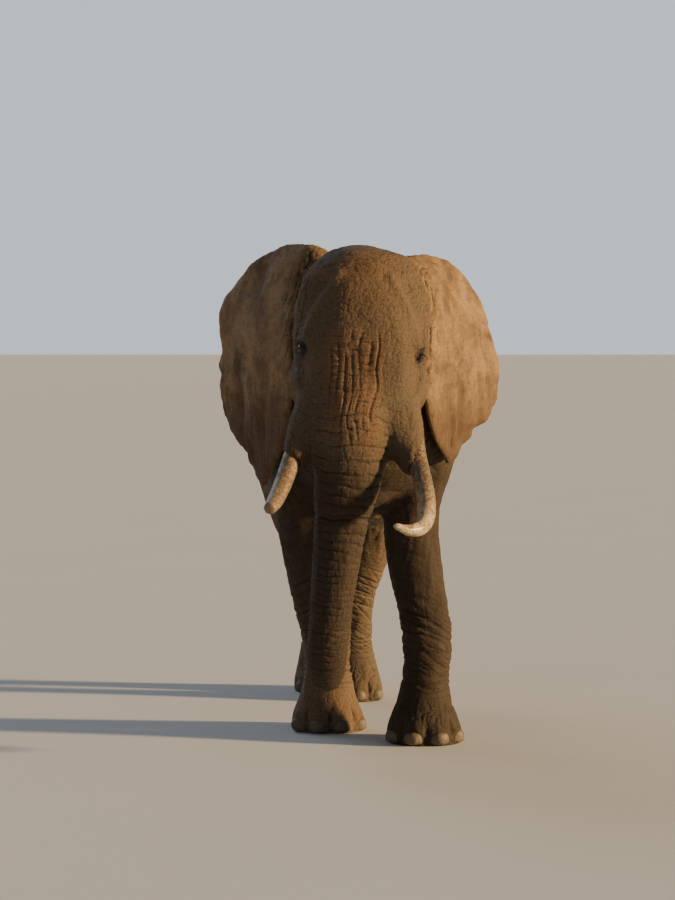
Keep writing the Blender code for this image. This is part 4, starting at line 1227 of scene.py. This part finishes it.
# Painted shade round the eyes, and the gland's real stain, go on over the dust.
tone = blend(tree, eye_shade_and_gland_stain, tone, colour(0.012, 0.009, 0.007))
roughness = between(tree, mottle, 0.3, 0.7, 0.66, 0.90)
roughness = figure(tree, "SUBTRACT", roughness, times(tree, eye_shade_and_gland_stain, 0.25))
shader.inputs["Specular IOR Level"].default_value = 0.35
finished(
    tree, shader, tone, roughness, (coarse["Height"], 0.45), (fine["Height"], 0.45),
    (level_lines["Height"], 1.5), (mottle, 0.7), (pores, 0.20), strength=0.75, distance=0.0035,
)

skin = new_piece("hide", skin_mesh)
skin_mesh.materials.append(hide_finish)
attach(skin, "root")
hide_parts(*FLESH)
print("hide:", len(skin_mesh.polygons), "faces,", len(tree.nodes), "nodes")

# %% [markdown]
# ## Tusks
# A tusk is a long tooth. Near the lip it is grey brown, stained by soil and sap. Fine cracks run
# along it, and the end is cream where bark and earth have polished it. The right tusk is broken
# and worn blunt.

# %% Round the tusks and finish them
def rounded(node, cuts):
    """A solid's faces as one finely curved mesh."""
    points, triangles = welded(*read_mesh(nodes[node].data))
    normals = corner_normals(points, triangles, 1e-4)
    return welded(*bent_patches(points, triangles, normals, cuts))


ivory_finish, tree, shader = new_material("ivory")
place = object_place(tree)
grain = placed(tree, grain_lines, place=place, lines_per_metre=120.0, squeeze=(1.0, 0.12, 0.12))
long_cracks = placed(tree, grain_lines, place=place, lines_per_metre=46.0,
                     squeeze=(1.0, 0.10, 0.10))
stains = cloudy(tree, place, 22.0, 8.0, 0.75)
specks = cloudy(tree, place, 60.0, 6.0, 0.75)
worn = kept("worn")
tan, cream = colour(0.36, 0.26, 0.14), colour(0.60, 0.52, 0.36)
tone = blend(tree, between(tree, stains, 0.38, 0.60), tan, cream)
unpolished = {0: figure(tree, "SUBTRACT", 1.0, worn),
              1: between(tree, stains, 0.40, 0.56, 0.35, 1.0)}
old = add(tree, "Math", unpolished, operation="MULTIPLY", use_clamp=True).outputs[0]
tone = blend(tree, old, tone, colour(0.068, 0.056, 0.041))
rusty = times(tree, between(tree, specks, 0.42, 0.52), between(tree, stains, 0.47, 0.53, 0.95, 0.0))
dark_specks = between(tree, specks, 0.51, 0.54)
tone = coated(
    tree, tone,
    (rusty, between(tree, worn, 0.0, 0.8, 1.0, 0.55), (0.200, 0.085, 0.024)),
    (dark_specks, between(tree, worn, 0.0, 0.8, 0.90, 0.30), (0.036, 0.026, 0.017)),
    (long_cracks["Line"], 0.55, (0.130, 0.088, 0.052)),
)
tone = blend(tree, kept("broken"), tone, colour(0.200, 0.130, 0.075))
finished(
    tree, shader, dusted(tree, place, tone, (0.26, 0.17, 0.09), 0.22, 0.12),
    between(tree, old, 0.0, 1.0, 0.32, 0.62),
    (grain["Height"], 0.5), (stains, 0.8), (long_cracks["Line"], -0.5),
)

# stain_end and cream_start are distances from the tip, in metres
TUSK_MARKS = {"left": (0.56, 0.24, 0.95, 0.0), "right": (0.40, 0.10, 0.18, 0.95)}
for side, (stain_end, cream_start, polish, broken) in TUSK_MARKS.items():
    points, triangles = rounded(f"tusk_{side}", 6)
    mesh = write_mesh(f"tusk_{side}", points, triangles)
    normals = normals_now(mesh, points)
    points = points + normals * (0.0012 * noise(points, (0.03, 0.20, 0.12), 100))[:, None]
    root_of_tusk = points[points[:, 1] > np.quantile(points[:, 1], 0.97)].mean(0)
    from_root = np.linalg.norm(points - root_of_tusk, axis=1)
    tip_of_tusk = points[from_root > np.quantile(from_root, 0.99)].mean(0)
    to_tip = np.linalg.norm(points - tip_of_tusk, axis=1)
    cracks = crease(noise(points, (0.022, 0.35, 0.2), 101), 0.07) * rise(to_tip, 0.20, 0.34)
    points = points - normals * (0.0012 * cracks)[:, None]
    set_points(mesh, points)
    keep(mesh, "worn", polish * rise(-to_tip, -stain_end, -cream_start))
    keep(mesh, "broken", broken * rise(0.075 - to_tip, 0, 0.045))
    tusk = new_piece(f"tusk_{side}_worn", mesh)
    mesh.materials.append(ivory_finish)
    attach(tusk, "root")
    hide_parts(f"tusk_{side}")
    print(tusk.name, len(mesh.polygons), "faces")

# %% [markdown]
# ## Toenails
# The nails are flat plates of horn, grey brown with paler worn edges, ridged from cuticle to rim
# and dusted with soil.

# %% Lay the plates of horn on the toes
horn_finish, tree, shader = new_material("horn")
place = object_place(tree)
ridges = placed(tree, grain_lines, place=place, lines_per_metre=150.0, squeeze=(1.0, 1.0, 0.10))
chips = placed(tree, net_of_cracks, place=place, plate_size=0.018, unevenness=0.8)
patchwork = cloudy(tree, place, 40.0, 6.0)
dark_horn, pale_horn = colour(0.070, 0.054, 0.037), colour(0.115, 0.089, 0.060)
tone = blend(tree, between(tree, patchwork, 0.35, 0.65), dark_horn, pale_horn)
tone = coated(tree, tone, (ridges["Line"], 0.5, (0.100, 0.075, 0.055)))
tone = blend(tree, kept("rim"), tone, colour(0.150, 0.115, 0.078))
finished(
    tree, shader, dusted(tree, place, tone, (0.120, 0.078, 0.046), 0.75, 0.08),
    between(tree, patchwork, 0.3, 0.7, 0.48, 0.75),
    (ridges["Height"], 1.0), (chips["Height"], 0.4), strength=0.55, distance=0.0015,
)

feet = np.flatnonzero(skin_points[loop_corner[loop_start], 2] < PASTERN)
feet_tree = BVHTree.FromPolygons(
    skin_points.tolist(), [skin_mesh.polygons[k].vertices[:] for k in feet.tolist()])
NAIL_NET = (25, 19)  # points across and up
NAIL_THICK = 0.012
RAY_START, RAY_LENGTH = 0.12, 0.30  # of the rays that find the skin behind a nail, from outside
for name, (middle, outward, sideways) in nail_axes.items():
    half_width, half_height = NAIL_HALF[name[5:9]]
    sides = [np.linspace(-1, 1, count) for count in NAIL_NET]
    u, v = (side.ravel() for side in np.meshgrid(*sides, indexing="ij"))
    a, b = u * np.sqrt(1 - 0.5 * v * v) * half_width, v * np.sqrt(1 - 0.5 * u * u) * half_height
    a = a * (1 - 0.10 * v)
    spot = middle + sideways * a[:, None] + np.array((0, 0, 1)) * b[:, None]
    spot[:, 2] = np.maximum(spot[:, 2], 0.004)
    to_edge = 1 - np.maximum(np.abs(u), np.abs(v))
    proud_by = -0.003 + 0.0085 * rise(to_edge, 0.0, 0.30)
    proud_by += 0.0030 * rise(-v, 0.1, 0.9) * rise(to_edge, 0.0, 0.1)
    proud_by += 0.0006 * np.sin(a * 700 + 3 * noise(spot, 0.05, 105)) * rise(to_edge, 0.1, 0.3)
    points = []
    for place_out, by in zip(spot, proud_by):
        start = Vector(place_out + outward * RAY_START)
        hit = feet_tree.ray_cast(start, Vector(-outward), RAY_LENGTH)[0]
        points.append((np.array(hit) if hit else place_out) + outward * by)
    points = np.array(points)
    back = points - outward * NAIL_THICK
    net = np.arange(NAIL_NET[0] * NAIL_NET[1]).reshape(NAIL_NET)
    quads = np.stack((net[:-1, :-1], net[1:, :-1], net[1:, 1:], net[:-1, 1:]), -1).reshape(-1, 4)
    border = np.r_[net[:, 0], net[-1, 1:], net[-2::-1, -1], net[0, -2:0:-1]]
    following = np.roll(border, -1)
    count = len(points)
    walls = np.stack((border, border + count, following + count, following), 1)
    faces = np.concatenate((quads, quads[:, ::-1] + count, walls))
    mesh = write_mesh(name, np.concatenate((points, back)), faces)
    work = bmesh.new()
    work.from_mesh(mesh)
    bmesh.ops.recalc_face_normals(work, faces=work.faces)
    work.to_mesh(mesh)
    work.free()
    rim = 0.55 * rise(-v, 0.45, 0.95)
    keep(mesh, "rim", np.r_[rim, rim])
    nail = new_piece(name + "_horn", mesh)
    mesh.materials.append(horn_finish)
    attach(nail, "root")
    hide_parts(name)
print("nails:", len(nail_axes))

# %% [markdown]
# ## Eyes
# An elephant's iris is amber brown round a small round pupil, with a dark ring and a brown white
# that seldom shows. The clear front bulges a little. Colour follows the angle from the line of
# sight.

# %% Make the eyes
eye_finish, tree, shader = new_material("eye")
fibres = cloudy(tree, object_place(tree), 420.0, 5.0)
wander = between(tree, fibres, 0.3, 0.7, -0.012, 0.012)
ramp = add(tree, "ValToRGB", {0: figure(tree, "ADD", kept("aside"), wander)})
stops = ramp.color_ramp
stops.elements[0].position, stops.elements[0].color = 0.085, colour(0.002, 0.002, 0.002)
stops.elements[1].position, stops.elements[1].color = 0.34, colour(0.020, 0.012, 0.009)
for position, shade in (
    (0.10, (0.050, 0.020, 0.008)), (0.17, (0.075, 0.033, 0.012)),
    (0.215, (0.010, 0.006, 0.004)), (0.24, (0.018, 0.011, 0.008)),
):
    stops.elements.new(position).color = colour(*shade)
shader.inputs["Coat Weight"].default_value = 0.3
shader.inputs["Coat Roughness"].default_value = 0.03
finished(tree, shader, ramp.outputs[0], between(tree, fibres, 0.3, 0.7, 0.05, 0.10))

for side, (lengthwise, upright, outward) in looks.items():
    work = bmesh.new()
    bmesh.ops.create_uvsphere(work, u_segments=56, v_segments=40, radius=BALL[side] - 0.0004)
    mesh = bpy.data.meshes.new(f"eyeball_{side}")
    work.to_mesh(mesh)
    work.free()
    points = read_points(mesh)
    angle = np.arccos(np.clip(points[:, 2] / np.linalg.norm(points, axis=1), -1, 1)) / math.pi
    points *= (1 + 0.05 * bell(angle, 0, 0.13))[:, None]
    gaze = (outward * 0.93 + lengthwise * 0.20 - upright * 0.10).normalized()
    turn = np.array(gaze.to_track_quat("Z", "Y").to_matrix())
    set_points(mesh, points @ turn.T + EYES[side])
    keep(mesh, "aside", angle)
    ball = new_piece(f"eyeball_{side}", mesh)
    mesh.materials.append(eye_finish)
    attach(ball, "root")
    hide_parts(f"eye_{side}")
print("eyes look at", {side: [round(v, 2) for v in axes[2]] for side, axes in looks.items()})

# %% [markdown]
# ## Hair
# A grown elephant has little hair: long lashes, stiff bristles on the chin, trunk, brow and back,
# and wiry hair in two rows at the end of the tail. Each hair is a thin three-sided tapering tube
# in one joined mesh. On the unwrap a hair is a tiny patch where it grows from the hide.

# %% Grow hairs as joined tubes
hair_finish, tree, shader = new_material("hair")
place = object_place(tree)
strands = cloudy(tree, place, 90.0, 3.0)
black, dark = colour(0.012, 0.010, 0.009), colour(0.040, 0.032, 0.027)
tone = blend(tree, between(tree, strands, 0.35, 0.65), black, dark)
tone = dusted(tree, place, tone, (0.22, 0.15, 0.10), 0.25, 0.1)
finished(tree, shader, tone, between(tree, strands, 0.3, 0.7, 0.35, 0.6))
PATCH = 0.003  # how much of the unwrap's width a hair takes
TAPER = 0.85  # how much of its thickness a hair loses by its tip
NOT_ALONG_HAIR = (0.31, 0.74, 0.59)  # no hair runs along this direction


def hairs(name, roots, directions, lengths, radius, droop, wave, segments=7):
    """Tapering hairs from roots along directions; droop bends them down, wave makes them uneven."""
    count = len(roots)
    steps = np.linspace(0, 1, segments + 1)
    sway = chance.normal(size=(count, 1, 3)) * wave
    path = directions[:, None] * steps[None, :, None] + sway * (steps**2)[None, :, None]
    path[:, :, 2] -= droop * steps[None, :] ** 2
    path = roots[:, None] + path * lengths[:, None, None]
    run = unit(np.gradient(path, axis=1))
    side = unit(np.cross(run, NOT_ALONG_HAIR))
    upper = np.cross(run, side)
    thick = radius * (1 - TAPER * steps)[None, :, None]
    turns = [k * math.tau / 3 for k in range(3)]
    ring = [path + thick * (side * math.cos(turn) + upper * math.sin(turn)) for turn in turns]
    points = np.stack(ring, 2).reshape(-1, 3)
    faces, corners = [], []
    for s in range(segments):
        for k in range(3):
            after = (k + 1) % 3
            faces.append((s * 3 + k, s * 3 + after, s * 3 + 3 + after, s * 3 + 3 + k))
            left, right, low, high = k / 3, k / 3 + 1 / 3, s / segments, (s + 1) / segments
            corners.append(((left, low), (right, low), (right, high), (left, high)))
    starts = np.arange(count)[:, None, None] * (segments + 1) * 3
    quads = (np.array(faces)[None] + starts).reshape(-1, 4)
    found = np.array([outside_tree.find_nearest(p)[2] for p in roots.tolist()])
    home = unwrapped(roots, found)
    uv = (np.array(corners) - 0.5)[None] * PATCH + home[:, None, None, :]
    mesh = write_mesh(name, points, quads)
    mesh.uv_layers.new(name=UNWRAP).data.foreach_set("uv", uv.astype(np.float32).ravel())
    piece = new_piece(name, mesh)
    mesh.materials.append(hair_finish)
    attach(piece, "root")
    print(name, count, "hairs,", len(quads) * 2, "triangles")
    return piece


# %% [markdown]
# ### Tail, lashes and bristles
# Tail hair grows from the front and the back of the last hand's breadths of the tail and hangs
# straight. Lashes fan out over the eye. Bristles are sprinkled thinly, with most on the chin and
# the trunk.

# %% Grow the tail's tuft
TAIL_HAIRS = 620
tuft_low, tuft_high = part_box("tail_tuft")
tail_low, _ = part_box("tail")
tuft_middle = (tuft_low + tuft_high) / 2
climb = chance.uniform(0, 1, TAIL_HAIRS) ** 1.6
rows = chance.choice((-1, 0, 1), TAIL_HAIRS)
tail_roots = np.stack((
    np.full(TAIL_HAIRS, tuft_middle.x) + chance.normal(0, 0.006, TAIL_HAIRS),
    tuft_middle.y + rows * (0.012 + 0.004 * chance.uniform(0, 1, TAIL_HAIRS)),
    tail_low.z + 0.004 + 0.24 * climb * np.abs(rows),
), 1)
tail_aim = np.stack((
    chance.normal(0, 0.05, TAIL_HAIRS),
    rows * chance.uniform(0.02, 0.10, TAIL_HAIRS) + chance.normal(0, 0.03, TAIL_HAIRS),
    np.full(TAIL_HAIRS, -1.0),
), 1)
longest = tail_roots[:, 2] - tuft_low.z
tail_lengths = longest * chance.uniform(0.55, 0.97, TAIL_HAIRS)
tuft = hairs("tail_hair", tail_roots, tail_aim, tail_lengths, 0.0011, 0.02, 0.035, 9)
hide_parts("tail_tuft")

# %% Grow lashes and bristles
LASHES, BRISTLES = 38, 1500
lash_roots, lash_aims = [], []
for side, (lengthwise, upright, outward) in looks.items():
    half, above, _ = OPENING
    lengthwise, upright, outward = np.array(lengthwise), np.array(upright), np.array(outward)
    for a in np.linspace(-0.9, 0.9, LASHES):
        b = above * (1 - a * a) + 0.0012
        flat = lengthwise * a * half + upright * b
        lift = math.sqrt(max((BALL[side] + LID - 0.001) ** 2 - flat @ flat, 1e-6))
        lash_roots.append(EYES[side] + flat + outward * lift)
        lash_aims.append(outward * 0.8 + lengthwise * (0.55 * a + 0.15) - upright * 0.35)
lash_lengths = chance.uniform(0.028, 0.046, len(lash_roots))
hairs("lashes", np.array(lash_roots), np.array(lash_aims), lash_lengths, 0.0005, 0.45, 0.05)

back_top = side_part * rise(skin_normals[:, 2], 0.5, 0.9)
where_bristles = (
    0.9 * on_parts("jaw", rounds=4) + 0.30 * trunk_part + 0.12 * head_part
    + 0.10 * back_top + 0.05 * ear_root
)
where_bristles *= 1 - sum(bell(to_eye, 0, 0.05) for to_eye in to_eyes)
where_bristles = np.clip(where_bristles, 0, None) / neighbours
share = where_bristles / where_bristles.sum()
chosen = chance.choice(len(skin_points), BRISTLES, replace=False, p=share)
bristle_roots = skin_points[chosen] - skin_normals[chosen] * 0.001
bristle_aims = skin_normals[chosen] * 0.75 + chance.normal(0, 0.25, (BRISTLES, 3)) + (0, 0, -0.45)
bristle_lengths = chance.uniform(0.012, 0.034, BRISTLES)
hairs("bristles", bristle_roots, bristle_aims, bristle_lengths, 0.00045, 0.35, 0.08, 4)

# %% [markdown]
# ## Floor, light and camera
# A plain pale floor runs out to a plain pale backdrop. One broad warm lamp shines low from the
# animal's left side, with a weak cool one on the other side and a soft one behind. The camera
# stands as high as a person on a vehicle, far off with a long lens, and looks slightly down.

# %% Set the stage
FAR = 1500  # how far the floor runs, in metres
BACK = FAR - 5
SKY = colour(0.80, 0.88, 0.96)
AIM = Vector((0.0, -0.6, 1.7))  # the middle of the animal
EYE_LEVEL = 2.5
TILT, PAN = 2.13, -4.0  # of the camera, in degrees


def staged(name, corners):
    mesh = write_mesh(name, np.array(corners, float), np.array([(0, 1, 2, 3)]))
    piece = new_piece(name, mesh, smooth=False)
    finish, tree, shader = new_material(name)
    piece.data.materials.append(finish)
    return tree, shader


tree, shader = staged("floor", [(-FAR, -FAR, 0), (FAR, -FAR, 0), (FAR, FAR, 0), (-FAR, FAR, 0)])
cloud = cloudy(tree, object_place(tree), 0.5, 4.0)
pale = blend(tree, cloud, colour(0.56, 0.57, 0.58), colour(0.59, 0.60, 0.61))
tree.links.new(pale, shader.inputs["Base Color"])
shader.inputs["Roughness"].default_value = 0.9
tree, shader = staged(
    "backdrop", [(-300, BACK, -1), (540, BACK, -1), (540, BACK, 420), (-300, BACK, 420)])
shader.inputs["Base Color"].default_value = colour(0.0, 0.0, 0.0)
shader.inputs["Emission Color"].default_value = SKY
shader.inputs["Emission Strength"].default_value = 0.85


def lamp(name, kind, come_from, power, tint, **settings):
    """A lamp that shines from come_from towards the middle of the animal."""
    light = bpy.data.lights.new(name, kind)
    light.energy = power
    light.color = tint
    for setting, value in settings.items():
        setattr(light, setting, value)
    made = bpy.data.objects.new(name, light)
    made.location = come_from
    made.rotation_euler = (AIM - Vector(come_from)).to_track_quat("-Z", "Y").to_euler()
    bpy.context.scene.collection.objects.link(made)


lamp("warm_key", "SUN", (10.0, -3.2, 3.8), 9.7, (1.0, 0.68, 0.33), angle=math.radians(4))
lamp("cool_fill", "SUN", (-8.0, -9.0, 5.0), 0.25, (0.80, 0.88, 1.0), angle=math.radians(60))
lamp("soft_rim", "SUN", (-5.0, 9.0, 8.0), 0.7, (0.92, 0.95, 1.0), angle=math.radians(40))
world = bpy.data.worlds.new("pale")
world.use_nodes = True
background = world.node_tree.nodes["Background"]
background.inputs["Color"].default_value = SKY
background.inputs["Strength"].default_value = 0.20
bpy.context.scene.world = world

lens = bpy.data.cameras.new("camera")
lens.lens = 107.6
lens.sensor_width = 36.0
lens.clip_end = 2.0 * FAR
camera = bpy.data.objects.new("camera", lens)
camera.location = (-1.3528, -17.8316, EYE_LEVEL)
camera.rotation_euler = (math.radians(90 - TILT), 0.0, math.radians(PAN))
bpy.context.scene.collection.objects.link(camera)
bpy.context.scene.camera = camera
print("camera", tuple(round(v, 2) for v in camera.location))
